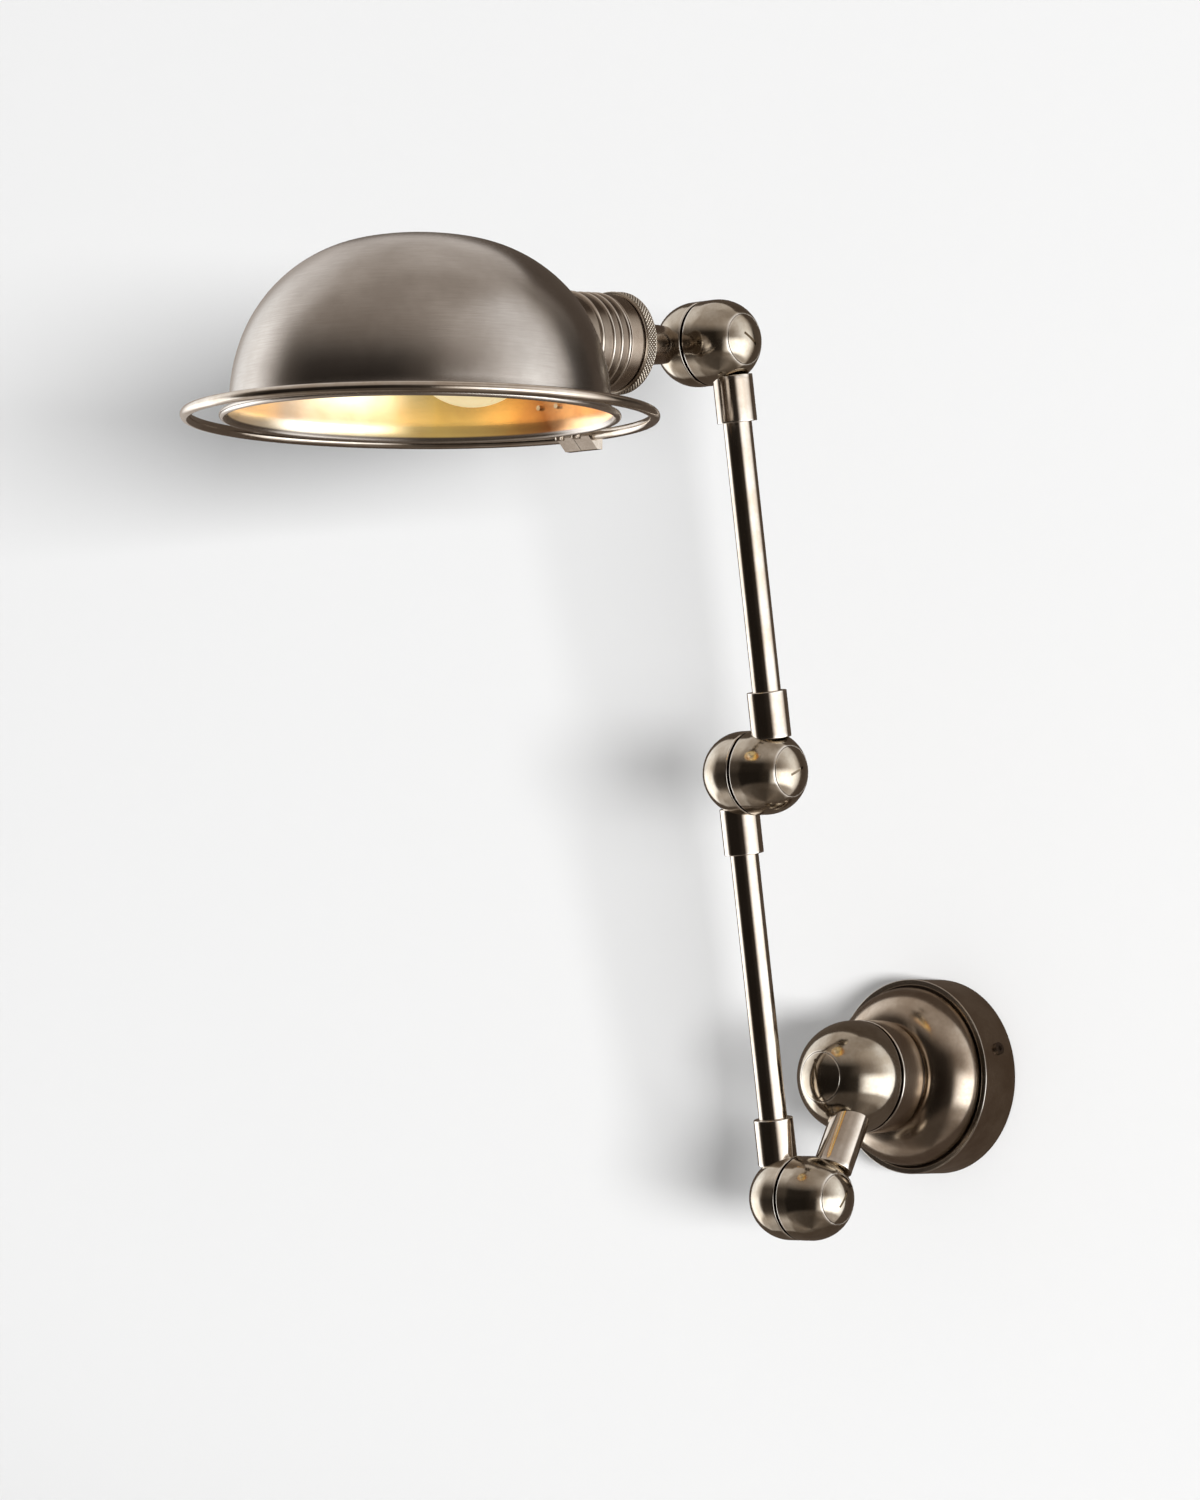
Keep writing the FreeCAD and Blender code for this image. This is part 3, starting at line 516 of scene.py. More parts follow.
half_ball("swivel_ball", "wall_ball", "wall_swivel", swivel, OUT, *ball_form)
slotted_cap("swivel_ball_cap", "wall_ball_cap", "wall_swivel", swivel, OUT, *ball_form, 22.0, -15.0)


def sleeve(name, node, body, root, direction, radius, bore, start, end, cut=0.4):
    """Round tube wall between two distances along a direction."""
    outline = np.array([(bore, start), (radius, start), (radius, end), (bore, end), (bore, start)], float)
    turned_piece(name, node, body, tube_nickel, outline, root, direction, cut=cut, step=3.0)


ferrule_radius, ferrule_end, tube_radius, tube_wall, tube_start = 12.0, 48.7, 8.65, 1.5, 30.8
stub_bore, stub_seat, tube_seat = 8.0, 24.0, 20.5
stub_root = swivel + OUT * ball_form[1] + RIGHT * stub_side
stub_foot = shoulder + RIGHT * tube_offset
stub_reach = np.linalg.norm(stub_foot - stub_root)
sleeve("stub", "swivel_stub", "wall_swivel", stub_root, unit(stub_foot - stub_root),
       ferrule_radius, stub_bore, stub_seat, stub_reach - tube_seat)

# %% [markdown]
# ## Shoulder, elbow and wrist
# The three knuckles are alike, so a loop makes their halves and caps. The right half of the shoulder
# turns with the wall swivel, its left half with the lower arm, and so on up to the shade.

# %% Knuckles
knuckles = (
    ("shoulder", shoulder, "wall_swivel", "lower_arm", 35.0),
    ("elbow", elbow, "upper_arm", "lower_arm", 64.0),
    ("wrist", wrist, "upper_arm", "shade_head", 121.0),
)
for knuckle, centre, right_body, left_body, slot_turn in knuckles:
    for side, axis, body in (("right", RIGHT, right_body), ("left", -RIGHT, left_body)):
        half_ball(f"{knuckle}_{side}_shell", f"{knuckle}_{side}_half", body, centre, axis, *knuckle_form)
        slotted_cap(f"{knuckle}_{side}_slotted_cap", f"{knuckle}_{side}_cap", body, centre, axis,
                    *knuckle_form, 12.0, slot_turn)

# %% [markdown]
# ## Arms
# Each arm is a plain tube in two ferrules. A small step and a fine bright line show where the tube
# goes into its ferrule, so the ferrule's mouth is rounded a little more than other edges.

# %% Tubes and ferrules
for arm, foot in (("lower_arm", shoulder - RIGHT * tube_offset), ("upper_arm", elbow + RIGHT * tube_offset)):
    sleeve(f"{arm}_pipe", f"{arm}_tube", arm, foot, arm_dir, tube_radius, tube_radius - tube_wall,
           tube_start, arm_length - tube_start)
    for end, root, direction in (("bottom", foot, arm_dir), ("top", foot + arm_dir * arm_length, -arm_dir)):
        sleeve(f"{arm}_{end}_socket", f"{arm}_{end}_ferrule", arm, root, direction,
               ferrule_radius, tube_radius + 0.1, tube_seat, ferrule_end, cut=0.6)

# %% [markdown]
# ## Neck and knurled cap
# The neck swells a little between the wrist and the cap. The cap screws onto the socket housing, so
# its rim is knurled for the fingers: two sets of V grooves cross at an angle and leave small diamonds.
# The knurl is computed in the grid itself: the radius drops by the depth of the nearer groove. Only
# the knurled band has rows close together, and each groove gets the same number of columns.

# %% Neck and knurled cap
cap_face, cap_radius, cap_length, cap_end_wall = 61.2, 30.4, 10.0, 5.0
cap_bead, cap_bore, cap_bead_end = 30.0, 27.4, cap_face + 9.2
neck_radius, neck_swell, neck_bore, neck_spigot, cap_hole = 11.2, 1.0, 5.2, 9.0, 9.1
cap_floor = cap_face + cap_end_wall
neck_mid = (tube_seat + cap_face) / 2
neck_steps = np.linspace(tube_seat, cap_face, 16)
neck_share = (neck_steps - neck_mid) / (cap_face - neck_mid)
neck_outline = np.vstack([
    (neck_bore, tube_seat),
    np.column_stack([neck_radius + neck_swell * (1 - neck_share ** 2), neck_steps]),
    (neck_spigot, cap_face),
    (neck_spigot, cap_floor),
    (neck_bore, cap_floor),
    (neck_bore, tube_seat),
])
turned_piece("neck", "shade_neck", "shade_head", collar_nickel, neck_outline, neck_root, collar_dir)

knurl_count, knurl_depth = 84, 0.7
knurl_rows, knurl_columns = 25, 12
band_start, band_end = cap_face + 1.0, cap_face + 8.2
cap_side = np.vstack([
    (cap_hole, cap_face),
    (cap_radius - 1.2, cap_face),
    np.column_stack([np.full(knurl_rows, cap_radius), np.linspace(band_start, band_end, knurl_rows)]),
    (cap_radius - 0.9, band_end + 0.4),
    (cap_bead, band_end + 0.8),
    (cap_bead, cap_bead_end),
    (cap_bore, cap_bead_end),
    (cap_bore, cap_floor),
    (cap_hole, cap_floor),
    (cap_hole, cap_face),
])
cap_fine = refined(rounded(cap_side, 0.3), 3.0)
cap_columns = knurl_count * knurl_columns
cap_grid = turned_grid(cap_fine, neck_root, collar_dir, cap_columns)
turn_share = np.linspace(0, 1, cap_columns, endpoint=False)[None]
cap_out, cap_along = cap_fine[:, :1], cap_fine[:, 1:]
climb = (cap_along - band_start) / (2 * math.pi * cap_radius)
pitch_share = knurl_count * np.stack([turn_share + climb, turn_share - climb])
groove = np.abs(pitch_share % 1 - 0.5) * 2
on_band = (cap_out > cap_radius - 0.05) & (cap_along < band_end - 0.2) & (cap_along > band_start + 0.2)
drop = knurl_depth * np.clip(groove.max(0) * 1.6 - 0.6, 0, 1) * on_band
cap_shine = np.where(on_band, 1.0 - 2.8 * drop / knurl_depth, burnish_of(cap_fine)[:, None])
knurled = cap_grid - spokes(collar_dir, cap_columns) * drop[:, :, None]
add_piece("finger_cap", surface("finger_cap", knurled, cap_shine), "shade_head", "knurled_cap", ball_nickel)

# %% [markdown]
# ## The dome's outline
# The shade is spun from one sheet: three arcs that run into each other, a flare and a rolled lip. The
# same outline is needed twice, for the shade and for the housing that is cut to its outside, so a
# function gives it for any distance in or out from the surface.

# %% Dome outline
dome_radius, dome_height, dome_wall = 108.4, 103.5, 1.2
side_arc, side_sweep, bend_arc = 102.4, 21.5, 89.2
flare_height, bead_radius, bead_centre = 7.5, 2.2, 112.1
flare_middle = (dome_radius + 0.3 * (bead_centre - dome_radius), 0.48 * flare_height)
flare_pull = (0.5, 0.6)


def dome_arcs(offset):
    """Three tangent arcs from the flare to the crown, with the offset added to each radius.

    The crown's radius R follows from (R - b)^2 = x^2 + (rise - R)^2, with b the radius of the bend, x how
    far its centre is from the axis, and rise how far that centre is below the top.
    """
    sweep = math.radians(side_sweep)
    side_x = dome_radius - side_arc
    bend_x = side_x + (side_arc - bend_arc) * math.cos(sweep)
    bend_z = flare_height + (side_arc - bend_arc) * math.sin(sweep)
    rise = dome_height - bend_z
    crown_arc = (bend_x ** 2 + rise ** 2 - bend_arc ** 2) / (2 * (rise - bend_arc))
    crown_z = dome_height - crown_arc
    meet = math.degrees(math.atan2(bend_z - crown_z, bend_x))
    return np.vstack([
        arc((side_x, flare_height), side_arc + offset, 0, side_sweep, 16),
        arc((bend_x, bend_z), bend_arc + offset, side_sweep, meet, 30)[1:],
        arc((0, crown_z), crown_arc + offset, meet, 90, 24)[1:],
    ])


def dome_outline():
    """Closed outline of the sheet: outside up, inside down, round the rolled bead and up the flare."""
    t = np.linspace(0, 1, 8)[1:-1, None]
    bead = arc((bead_centre, 0), bead_radius, 190, 490, 28)
    outer, inner = np.array((dome_radius, flare_height)), np.array((dome_radius - dome_wall, flare_height))
    corner_in = np.array(flare_middle) - (dome_wall, dome_wall / 2) - flare_pull
    corner_out = np.array(flare_middle) - flare_pull
    return np.vstack([dome_arcs(0), dome_arcs(-dome_wall)[::-1], bend(inner, corner_in, bead[0], t), bead,
                      bend(bead[-1], corner_out, outer, t), outer])


def dome_surface_at(radius, columns, clearance):
    """For each turn about the collar's axis, the distance along it where the dome's outside is reached."""
    reach = np.linspace(90, 200, 1101)
    ring = neck_root + radius * spokes(collar_dir, columns)
    point = ring[:, None] + reach[None, :, None] * collar_dir - shade_centre
    profile = dome_arcs(clearance)
    allowed = np.interp(point[..., 2], profile[:, 1], profile[:, 0])
    outside = np.hypot(point[..., 0], point[..., 1]) - allowed
    first = np.argmax(outside < 0, axis=1)
    row = np.arange(columns)
    share = outside[row, first - 1] / (outside[row, first - 1] - outside[row, first])
    return reach[first - 1] + share * (reach[1] - reach[0])


# %% [markdown]
# ## Socket housing
# Behind the knurled cap comes the housing with three fine ridges and a flange. Its last stretch ends
# on the dome, so each column of its grid has its own end: the point where it meets the dome's outside.

# %% Socket housing
housing_radius, housing_waist, housing_wall, housing_spigot = 29.2, 28.5, 2.4, 27.3
housing_start = cap_face + cap_length
housing_bore = housing_waist - housing_wall
spigot_end = cap_floor + 0.1
saddle_start = cap_face + 50.0
ridges = ((22.6, 1.4, 2.4), (29.4, 1.4, 2.4), (36.0, 1.4, 2.4), (46.0, 1.9, 3.4))
housing_columns = 192
gap_film = -0.45
steps = [
    (housing_bore, spigot_end),
    (housing_spigot, spigot_end),
    (housing_spigot, housing_start),
    (housing_waist, housing_start),
    (housing_radius, housing_start + 1.2),
    (housing_radius, housing_start + 10.8),
]
across_ridge = np.linspace(-1, 1, 13)[1:-1]
for place, height, width in ridges:
    bump = height * np.sqrt(1 - 0.96 * across_ridge ** 2) - 0.2 * height
    middle = cap_face + place
    steps += [(housing_waist, middle - width / 2),
              *zip(housing_waist + bump, middle + width / 2 * across_ridge),
              (housing_waist, middle + width / 2)]
steps.append((housing_waist, saddle_start))
housing_fine = refined(rounded(np.array(steps), 0.25), 0.8)
housing_grid = turned_grid(housing_fine, neck_root, collar_dir, housing_columns)
spoke = spokes(collar_dir, housing_columns)
outer_end, inner_end = (dome_surface_at(r, housing_columns, 0.1) for r in (housing_waist, housing_bore))
outer_reach = saddle_start + np.linspace(0, 1, 8)[1:, None] * (outer_end - saddle_start)
inner_reach = inner_end + np.linspace(0, 1, 12)[:, None] * (spigot_end - inner_end)
outer_rows = neck_root + outer_reach[..., None] * collar_dir + housing_waist * spoke
inner_rows = neck_root + inner_reach[..., None] * collar_dir + housing_bore * spoke
in_gap = (housing_fine[:, 0] < housing_waist + 0.25) & (housing_fine[:, 0] > housing_bore + 0.5)
line_shine = np.where(in_gap, gap_film, burnish_of(housing_fine, 0.45))
shine = np.concatenate([line_shine, np.full(len(outer_rows), gap_film), np.zeros(len(inner_rows))])
housing_mesh = surface("ridged_housing", np.concatenate([housing_grid, outer_rows, inner_rows]), shine)
add_piece("ridged_housing", housing_mesh, "shade_head", "socket_housing", collar_nickel)
print("housing meets the dome between", outer_end.min().round(1), "and", outer_end.max().round(1))

# %% [markdown]
# ## Finish of the shade
# The dome is brushed while it spins, so very fine lines run round it and stretch every reflection
# upwards and downwards; the shader's anisotropy does the same. Inside it is gilded and mottled with
# orange, with painted light on the gilding: a pale painted highlight on one side and a painted dark
# shade on the other, laid along one fixed direction, and a faint painted glow of the lit bulb in its
# emission. The attribute inside, which is 0 outside and 1 inside, chooses between the two finishes.

# %% Shade finish
# The gilding's painted light and shade are laid along one fixed direction across the shade, set by this turn.
painted_light_turn = math.radians(-43)
# In these tones the pale ones are a painted highlight and the dark red-brown one is a painted shade.
gilding_painted_light_tones = (
    (0.0, (0.62, 0.45, 0.26)), (0.16, (0.90, 0.86, 0.72)), (0.32, (0.84, 0.76, 0.52)),
    (0.52, (0.98, 0.69, 0.22)), (0.72, (0.66, 0.36, 0.10)), (0.82, (0.36, 0.13, 0.04)),
    (0.92, (0.84, 0.52, 0.28)),
)


def shade_finish():
    """Brushed nickel outside and mottled gilding inside with painted highlight, shade and glow, chosen by the
    inside attribute.
    """
    material, nodes, shader, place = new_material("brushed_gilded_painted_light")
    centred = nodes.mapped(place, Location=tuple(-shade_centre * MM))
    lines = nodes.noise(nodes.mapped(centred, Scale=(1.0, 1.0, 60.0)), 55.0)
    broad = nodes.noise(place, 22.0, 4.0)
    inside = nodes.add("ShaderNodeAttribute", attribute_name="inside").outputs["Fac"]
    worn = nodes.add("ShaderNodeAttribute", attribute_name="burnish").outputs["Fac"]
    tone = nodes.mixed(nodes.spread(broad, 0.35, 0.65, 0, 1), (0.54, 0.508, 0.474), (0.41, 0.378, 0.346))
    tone = nodes.mixed(nodes.spread(lines, 0.35, 0.7, 0, 0.3), tone, (0.34, 0.29, 0.25))
    tone = nodes.mixed(nodes.spread(worn, 0.25, 0.9, 0, 0.8), tone, (0.85, 0.80, 0.74))
    # Painted light: the gilding's tones run along one fixed direction, with a painted highlight on one side
    # and painted shade on the other.
    turned = nodes.mapped(centred, Rotation=(0, 0, painted_light_turn))
    across_painted_light = nodes.add("ShaderNodeSeparateXYZ", turned).outputs["X"]
    uneven = nodes.maths("MULTIPLY_ADD", broad, 0.05, across_painted_light)
    gilding_light_ramp = nodes.ramp(nodes.spread(uneven, -0.085, 0.135, 0, 1), gilding_painted_light_tones)
    gilt_and_painted_light = nodes.mixed(nodes.spread(broad, 0.45, 0.75, 0, 0.5), gilding_light_ramp, (0.66, 0.36, 0.12))
    along_spin = nodes.add("ShaderNodeTangent", direction_type="UV_MAP", uv_map="spin").outputs[0]
    nodes.feed(shader, **{
        "Base Color": nodes.mixed(inside, tone, gilt_and_painted_light), "Roughness": nodes.spread(lines, 0.3, 0.7, 0.22, 0.27),
        "Metallic": 1.0, "Anisotropic": 0.5, "Anisotropic Rotation": 0.25, "Tangent": along_spin,
        # The gilding's emission is a painted glow of the lit bulb.
        "Emission Color": nodes.mixed(inside, (0.0, 0.0, 0.0), gilt_and_painted_light), "Emission Strength": 0.36,
        "Normal": nodes.bump(lines, 0.06, 0.0002)})
    return material


# %% [markdown]
# ## Dome shade
# The sheet is turned about the vertical. A round tool along the collar's slanting axis cuts the
# opening for the socket, and two small ones cut the rivet holes.

# %% Dome shade
def bar(start, direction, radius, reach, sides=96):
    """Closed round bar, as a tool for cutting."""
    ends = np.array([(0, 0), (radius, 0), (radius, reach), (0, reach)], float)
    return surface("bar_tool", turned_grid(ends, start, unit(direction), sides))


dome_points = refined(dome_outline(), 3.0)
dome_shine = burnish_of(dome_points, 0.9) * (dome_points[:, 0] > 90)
dome_mesh = surface("shade_sheet", turned_grid(dome_points, shade_centre, UP, 256), dome_shine)
dome_mesh = cut_with(dome_mesh, bar(neck_root + collar_dir * cap_face, collar_dir, housing_bore + 0.1, 130.0))
rivet_rise = (node_middle("bracket_rivets") - shade_centre)[2]
for side in (-1, 1):
    hole = shade_centre + np.array([side * 7.0, 90.0, rivet_rise])
    dome_mesh = cut_with(dome_mesh, bar(hole, -OUT, 1.6, 30.0, 24))

place = np.zeros(len(dome_mesh.vertices) * 3, np.float32)
dome_mesh.vertices.foreach_get("co", place)
place = place.reshape(-1, 3) / MM - shade_centre
wall_middle = np.vstack([(0.0, 0.8), (bead_centre - 1.9, 0.9), (bead_centre - 3.3, 3.3),
                         dome_arcs(-dome_wall / 2)])
middle_at = np.interp(place[:, 2], wall_middle[:, 1], wall_middle[:, 0])
inner_side = (np.hypot(place[:, 0], place[:, 1]) < middle_at).astype(np.float32)
dome_mesh.attributes.new("inside", "FLOAT", "POINT").data.foreach_set("value", inner_side)
add_piece("shade", dome_mesh, "shade_head", "dome_shade", shade_finish())

# %% [markdown]
# ## Handle ring
# A round rod bent into a ring, whose ends nearly meet in the clamp. The grid carries a small circle
# round a large one, and the last rows shrink to the middle of the rod, which closes its two ends.

# %% Handle ring
ring_radius, ring_rod, ring_gap, ring_end_rounding = 133.1, 3.2, 2.0, 0.4
gap_turn = ring_gap / ring_radius
path = np.linspace(math.pi / 2 + gap_turn / 2, math.pi * 5 / 2 - gap_turn / 2, 320)
section = np.linspace(0, 2 * np.pi, 28, endpoint=False)
size = np.full(path.size + 4, ring_rod)
size[[0, -1]] = 0
size[[1, -2]] = ring_rod - ring_end_rounding
path = np.concatenate([path[:1], path[:1], path, path[-1:], path[-1:]])
around = ring_radius + size[:, None] * np.cos(section)
ring_grid = shade_centre + np.stack([around * np.cos(path)[:, None], around * np.sin(path)[:, None],
                                     size[:, None] * np.sin(section)], -1)
add_piece("ring", surface("ring", ring_grid), "shade_head", "handle_ring", tube_nickel)

# %% [markdown]
# ## Bulb
# A frosted globe with a short neck, and the threaded cap that screws into the socket. The thread is a
# wave whose height turns with the angle, so it climbs one pitch in each turn.

# %% Bulb glass and base
bulb_radius, bulb_length, bulb_neck, base_radius, base_length = 39.7, 113.0, 15.0, 13.1, 26.5
shade_reach, bulb_offset, bulb_columns = 228.6, 42.0, 96
base_tip, tip_height, base_rim, thread_depth, thread_pitch = 4.8, 2.2, 12.4, 0.5, 3.6
bulb_centre = (shade_reach - bulb_offset) / math.cos(collar_rise)
bulb_tip = bulb_centre + bulb_radius - bulb_length
base_start = bulb_tip + tip_height
base_end = base_start + base_length


def bulb_glass_finish():
    """White frosted glass, a little warm, with a faint mottle of its powder coating."""
    material, nodes, shader, place = new_material("frosted_glass")
    powder = nodes.noise(place, 160.0)
    tone = nodes.mixed(nodes.spread(powder, 0.3, 0.7, 0, 1), (0.45, 0.42, 0.34), (0.38, 0.34, 0.27))
    nodes.feed(shader, **{"Base Color": tone, "Roughness": nodes.spread(powder, 0.3, 0.7, 0.25, 0.38),
                          "Emission Color": (0.62, 0.48, 0.22), "Emission Strength": 1.0})
    return material


neck_joint = bulb_centre - math.sqrt(bulb_radius ** 2 - bulb_neck ** 2)
low_angle = math.degrees(math.asin((neck_joint - bulb_centre) / bulb_radius))
t = np.linspace(0, 1, 10)[:, None]
throat = (1 - t) * np.array((base_radius, base_end)) + t * np.array((bulb_neck, neck_joint))
glass_outline = np.vstack([throat[:-1], arc((0, bulb_centre), bulb_radius, low_angle, 90, 40)])
glass_mesh = surface("bulb_glass", turned_grid(glass_outline, neck_root, collar_dir, bulb_columns))
add_piece("bulb_glass", glass_mesh, "shade_head", "bulb_globe", bulb_glass_finish())

brass = nickel("brass_cap", (0.82, 0.62, 0.30), (0.60, 0.44, 0.20), 0.24, patch=90.0)
thread_turn = np.linspace(0, 2 * np.pi, bulb_columns, endpoint=False)[None]
thread_at = np.linspace(base_start, base_end, 80)[:, None]
taper = np.clip((thread_at - base_start) / 3, 0, 1) * np.clip((base_end - thread_at) / 3, 0, 1)
wave = (1 - np.cos(2 * np.pi * thread_at / thread_pitch - thread_turn)) / 2
thread = base_radius - thread_depth * (1 - taper) - thread_depth * taper * wave
thread_rows = (neck_root + thread_at[..., None] * collar_dir
               + thread[..., None] * spokes(collar_dir, bulb_columns))
start = np.array([(0, bulb_tip), (base_tip, bulb_tip), (base_tip, base_start), (base_rim, base_start)])
start_rows, end_rows = (turned_grid(rows, neck_root, collar_dir, bulb_columns)
                        for rows in (start, np.array([(0.0, base_end)])))
base_mesh = surface("bulb_cap", np.concatenate([start_rows, thread_rows, end_rows]))
base_mesh.set_sharp_from_angle(angle=math.radians(50))
add_piece("bulb_cap", base_mesh, "shade_head", "bulb_base", brass)

# %% [markdown]
# ## Pieces kept from the CAD model
# Pins, nuts, screws, washers, the brackets, the lampholder and the clamp are right as they are, so
# they keep their CAD meshes and get finishes of their own: plain steel where it is hidden, nickel
# where it shows, brass for the shell of the holder, and dark fibre for the friction discs.

# %% Finishes for the CAD pieces
def moulded(name, light, dark, roughness, scale):
    """Non-metal finish: two tones in fine noise, and a soft bump of the same grain."""
    material, nodes, shader, place = new_material(name)
    grain = nodes.noise(place, scale, 4.0)
    nodes.feed(shader, **{"Base Color": nodes.mixed(nodes.spread(grain, 0.3, 0.7, 0, 1), light, dark),
                          "Roughness": nodes.spread(grain, 0.3, 0.7, roughness, roughness + 0.15),
                          "Normal": nodes.bump(grain, 0.15, 0.0003)})
    return material


plain_steel = nickel("plain_steel", (0.62, 0.62, 0.62), (0.45, 0.45, 0.46), 0.32, patch=80.0)
strap_nickel = nickel("strap_nickel", (0.74, 0.68, 0.60), (0.50, 0.43, 0.36), 0.20, patch=90.0)
dark_steel = nickel("dark_steel", (0.22, 0.18, 0.15), (0.10, 0.08, 0.06), 0.35, patch=90.0)
friction_disc = moulded("friction_fibre", (0.10, 0.08, 0.07), (0.05, 0.04, 0.035), 0.7, 900.0)
holder_body = moulded("moulded_holder", (0.05, 0.045, 0.04), (0.03, 0.027, 0.025), 0.35, 700.0)

kept_finish = (
    (plain_steel, ("mounting_bracket", "lock_nut", "pivot", "nipple", "fitter_ring")),
    (friction_disc, ("washer",)),
    (brass, ("lampholder_shell",)),
    (holder_body, ("lampholder",)),
    (strap_nickel, ("ring_clamp", "ring_bracket", "rivets")),
    (dark_steel, ("set_screws",)),
)
kept = [node for node, thing in frame["nodes"].items() if not thing.hide_render]
for node in kept:
    finish = [metal for metal, words in kept_finish if any(word in node for word in words)][0]
    thing = frame["nodes"][node]
    thing.data.materials.clear()
    thing.data.materials.append(finish)
print("kept from the CAD model:", ", ".join(kept))

# %% [markdown]
# ## Wall and floor
# The lamp hangs on a plain pale wall, which takes its soft shadow. The wall's back is see-through, so
# the lamp can also be looked at from behind. Reflections don't see the wall, because the studio below
# has its own light and dark panels for them.

# %% Wall and floor
def wall_finish(name, colour, glow):
    """Pale paint, part of it self-lit, seen from the front only."""
    material, nodes, shader, place = new_material(name)
    paint = nodes.mixed(nodes.noise(place, 2.0, 2.0), colour, tuple(0.985 * c for c in colour))
    nodes.feed(shader, **{"Base Color": paint, "Roughness": 0.9, "Specular IOR Level": 0.0,
                          "Emission Color": (1.0, 1.0, 0.995), "Emission Strength": glow})
    back = nodes.add("ShaderNodeNewGeometry").outputs["Backfacing"]
    clear = nodes.add("ShaderNodeBsdfTransparent").outputs[0]
    one_sided = nodes.add("ShaderNodeMixShader", back, shader.outputs[0], clear).outputs[0]
    nodes.feed(material.node_tree.nodes["Material Output"], Surface=one_sided)
    return material


def panel(name, corner, side_a, side_b, finish):
    """Flat rectangle from one corner along two sides, in metres. It belongs to the studio."""
    corner, side_a, side_b = (np.array(v, float) for v in (corner, side_a, side_b))
    mesh = bpy.data.meshes.new(name)
    points = [corner, corner + side_a, corner + side_a + side_b, corner + side_b]
    mesh.from_pydata([tuple(p) for p in points], [], [(0, 1, 2, 3)])
    mesh.materials.append(finish)
    thing = linked(name, mesh)
    thing.visible_glossy = False
    return thing


wall_paint = wall_finish("wall_paint", (0.62, 0.62, 0.62), 0.13)
panel("studio_wall", (-6, 0.001, -1.2), (12, 0, 0), (0, 0, 6), wall_paint)
panel("studio_floor", (-6, 0.001, -1.2), (0, -8, 0), (12, 0, 0), wall_paint)

# %% [markdown]
# ## Studio
# Polished metal shows the room rather than its own colour, so the studio is built for its
# reflections: two tall white panels to the left and right, dark cloth in front of the lamp, a soft
# grey ceiling and a dim floor. The eye sees a pale ground instead, and other light is even. A dark
# board close behind the lamp gives its pieces their dark outlines; only reflections see it.
#
# The studio is one world shader with six bands of height. Each is a row of stops: a direction in
# degrees, from behind over the left (-90), the room (0) and the right (90) to behind again, and how
# bright it is there. A band takes over from the one below between two heights, also in degrees.

# %% Studio for reflections
floor_band = ((-180, 0.15), (-110, 0.18), (-60, 0.35), (-20, 0.12), (40, 0.09), (90, 0.28), (140, 0.16),
              (180, 0.15))
low_band = ((-180, 0.2), (-110, 0.25), (-100, 0.8), (-60, 0.7), (-50, 0.2), (0, 0.10), (48, 0.12),
            (60, 0.3), (90, 0.55), (135, 0.7), (150, 0.7), (157, 0.2), (180, 0.2))
eye_band = ((-180, 0.3), (-116, 0.6), (-103, 2.0), (-90, 2.6), (-64, 1.9), (-54, 0.12), (-38, 0.02),
            (20, 0.02), (50, 0.05), (58, 0.8), (66, 1.8), (88, 3.0), (118, 2.9), (138, 1.6), (150, 0.6),
            (156, 0.12), (180, 0.15))
brow_band = ((-180, 0.35), (-116, 0.5), (-103, 1.3), (-76, 1.7), (-60, 0.8), (-48, 0.12), (-30, 0.03),
             (30, 0.03), (52, 0.12), (60, 0.25), (81, 0.4), (99, 0.85), (116, 1.4), (130, 1.5), (144, 0.75),
             (152, 0.05), (180, 0.08))
high_band = ((-180, 0.8), (-116, 0.85), (-98, 1.0), (-60, 0.9), (-46, 0.5), (0, 0.42), (48, 0.48),
             (62, 0.6), (88, 0.8), (116, 1.1), (140, 1.0), (152, 0.5), (160, 0.2), (180, 0.6))
ceiling_band = ((-180, 0.75), (-110, 0.7), (-60, 0.6), (0, 0.5), (60, 0.5), (110, 0.45), (150, 0.6),
                (180, 0.75))
upper_bands = ((-54, -44, low_band), (-35, -28, eye_band), (-4, 8, brow_band), (20, 40, high_band),
               (48, 60, ceiling_band))


def tinted(value):
    """Warm grey: green falls by up to a fifth and blue by up to 0.36 as the value goes from 1.2 to 0."""
    warmth = max(0.0, min(1.0, 1.0 - value / 1.2))
    return value, value * (1 - 0.20 * warmth), value * (1 - 0.36 * warmth)


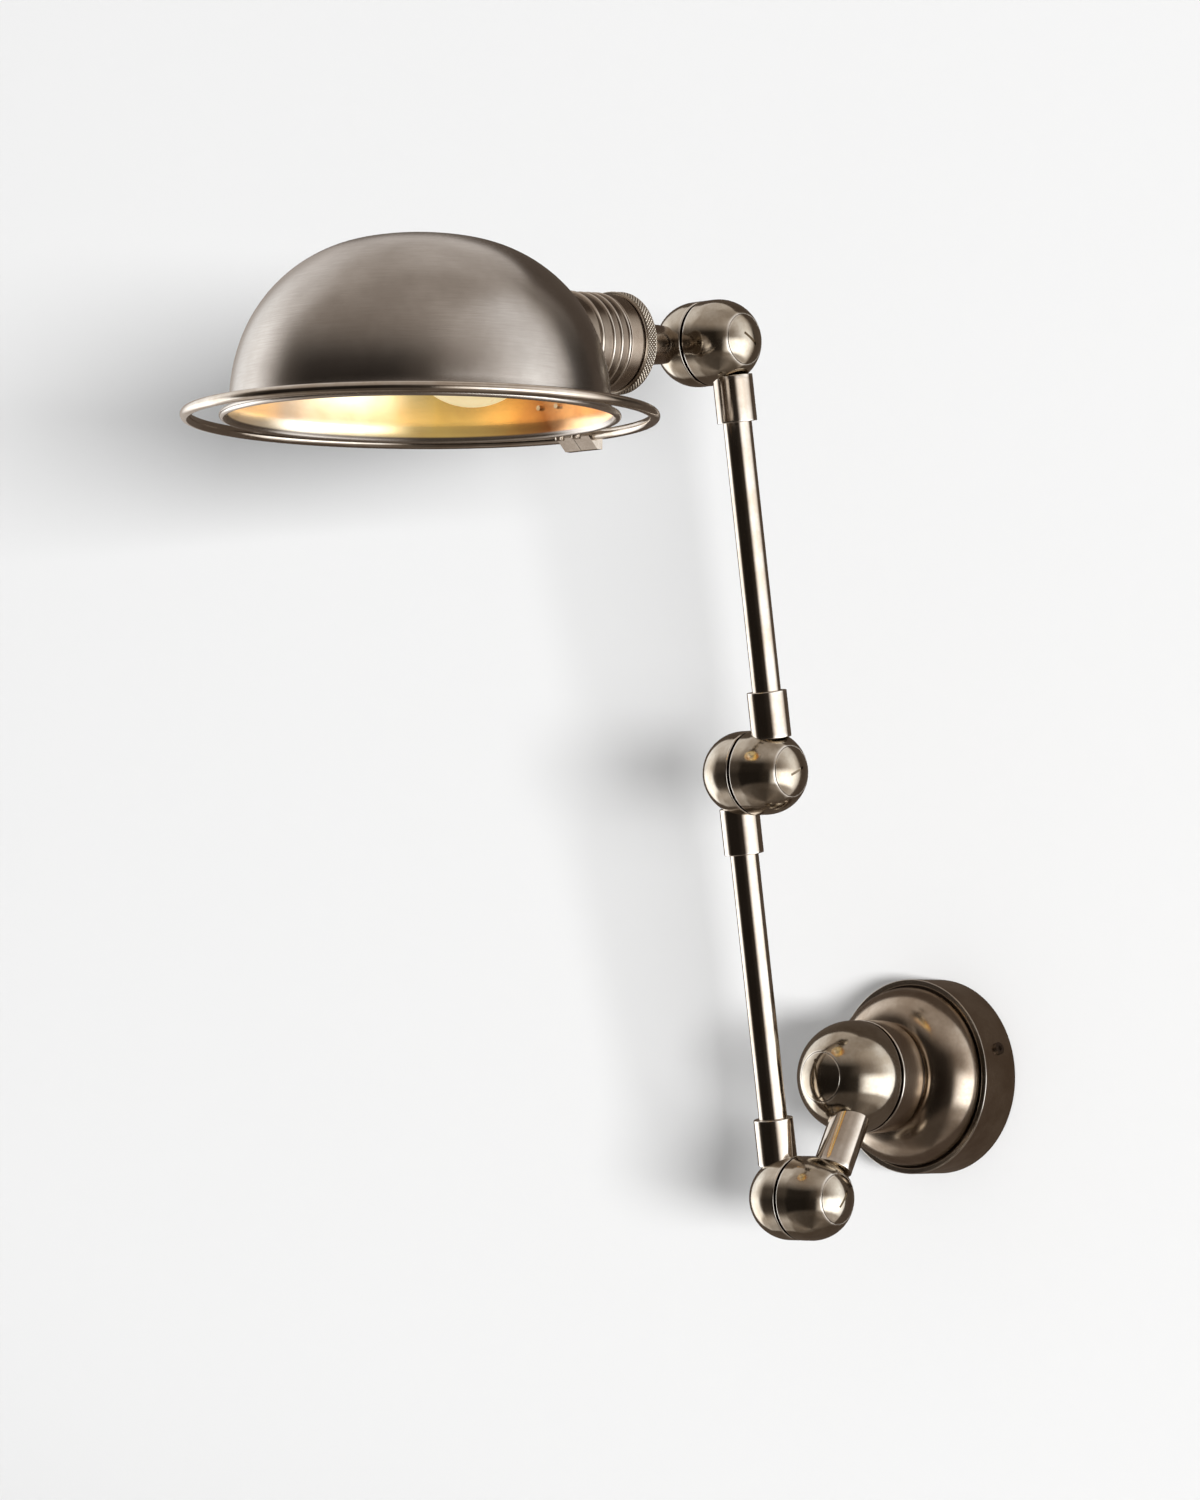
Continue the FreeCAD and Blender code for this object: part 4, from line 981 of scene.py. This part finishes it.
def studio_world():
    """Bands over azimuth, atan2(x, -y) / 2 pi + 1/2, and height, asin(z) / pi + 1/2."""
    world = bpy.data.worlds.new("studio")
    bpy.context.scene.world = world
    world.use_nodes = True
    world.node_tree.nodes.clear()
    nodes = Nodes(world.node_tree)
    direction = nodes.add("ShaderNodeTexCoord").outputs["Generated"]
    x, y, z = nodes.add("ShaderNodeSeparateXYZ", direction).outputs
    azimuth = nodes.maths("ARCTAN2", x, nodes.maths("MULTIPLY", y, -1.0))
    azimuth = nodes.maths("ADD", nodes.maths("DIVIDE", azimuth, 2 * math.pi), 0.5)
    height = nodes.maths("ADD", nodes.maths("DIVIDE", nodes.maths("ARCSINE", z), math.pi), 0.5)

    def all_round(band):
        return nodes.ramp(azimuth, [(degrees / 360 + 0.5, tinted(value)) for degrees, value in band])

    panels = all_round(floor_band)
    for low, high, band in upper_bands:
        rise = nodes.ramp(height, [(low / 180 + 0.5, (0.0,) * 3), (high / 180 + 0.5, (1.0,) * 3)])
        panels = nodes.mixed(rise, panels, all_round(band))
    reflected, plain, seen = (nodes.add("ShaderNodeBackground", colour).outputs[0]
                              for colour in (panels, (0.32, 0.32, 0.32), (0.92, 0.92, 0.915)))
    ray = nodes.add("ShaderNodeLightPath").outputs
    light = nodes.add("ShaderNodeMixShader", ray["Is Glossy Ray"], plain, reflected).outputs[0]
    to_eye = nodes.maths("MAXIMUM", ray["Is Camera Ray"], ray["Is Transmission Ray"])
    whole = nodes.add("ShaderNodeMixShader", to_eye, light, seen).outputs[0]
    nodes.add("ShaderNodeOutputWorld", Surface=whole)


def dark_cloth():
    """Cloth with a dull warm light of its own, in two tones, and no other."""
    material, nodes, shader, place = new_material("dark_cloth")
    weave = nodes.mixed(nodes.noise(place, 6.0), (0.14, 0.11, 0.088), (0.10, 0.076, 0.06))
    nodes.feed(shader, **{"Base Color": (0, 0, 0), "Specular IOR Level": 0.0,
                          "Emission Color": weave, "Emission Strength": 1.0})
    return material


studio_world()
board = panel("studio_board", (-0.65, 0.002, -1.0), (0.77, 0, 0), (0, 0, 1.9), dark_cloth())
board.visible_glossy = True
board.visible_camera = board.visible_diffuse = board.visible_shadow = board.visible_transmission = False

# %% [markdown]
# ## Lamp
# One soft lamp, wide and low, stands 32 m away to the right and slightly below the object. From so far
# it lights the wall evenly, and the shadows fall to the left. It is hidden from reflections, since the
# white panels are already there.

# %% Soft lamp
lamp_place, lamp_target = Vector((25.8, -18.8, -1.9)), Vector((0, 0, 0.15))
light = bpy.data.lights.new("right_softbox", "AREA")
light.shape, light.size, light.size_y, light.energy = "RECTANGLE", 8.4, 4.2, 16300.0
softbox = linked("right_softbox", light)
softbox.location = lamp_place
softbox.rotation_euler = (lamp_target - lamp_place).to_track_quat("-Z", "Y").to_euler()
softbox.visible_glossy = False

# %% [markdown]
# ## Camera
# The camera stands where the photograph was taken from: to the right of the lamp, a little lower than
# its middle, and well back, so the lens is long. Its turn is given by three vectors: right and up in
# the picture, and back towards the eye.

# %% Camera
camera = linked("camera", bpy.data.cameras.new("camera"))
camera.data.lens = 126.86
camera.data.sensor_width = 36.0
camera.data.sensor_fit = "AUTO"
eye = (2.0803, -2.5568, 0.0083)
azimuth, pitch = math.radians(42.8), math.radians(3.39)
back = np.array([math.sin(azimuth) * math.cos(pitch), -math.cos(azimuth) * math.cos(pitch), -math.sin(pitch)])
right = np.array([math.cos(azimuth), math.sin(azimuth), 0.0])
turned = np.eye(4)
turned[:3] = np.column_stack([right, np.cross(back, right), back, eye])
camera.matrix_world = Matrix(turned.tolist())
bpy.context.scene.camera = camera
bpy.context.scene.view_settings.view_transform = "Standard"
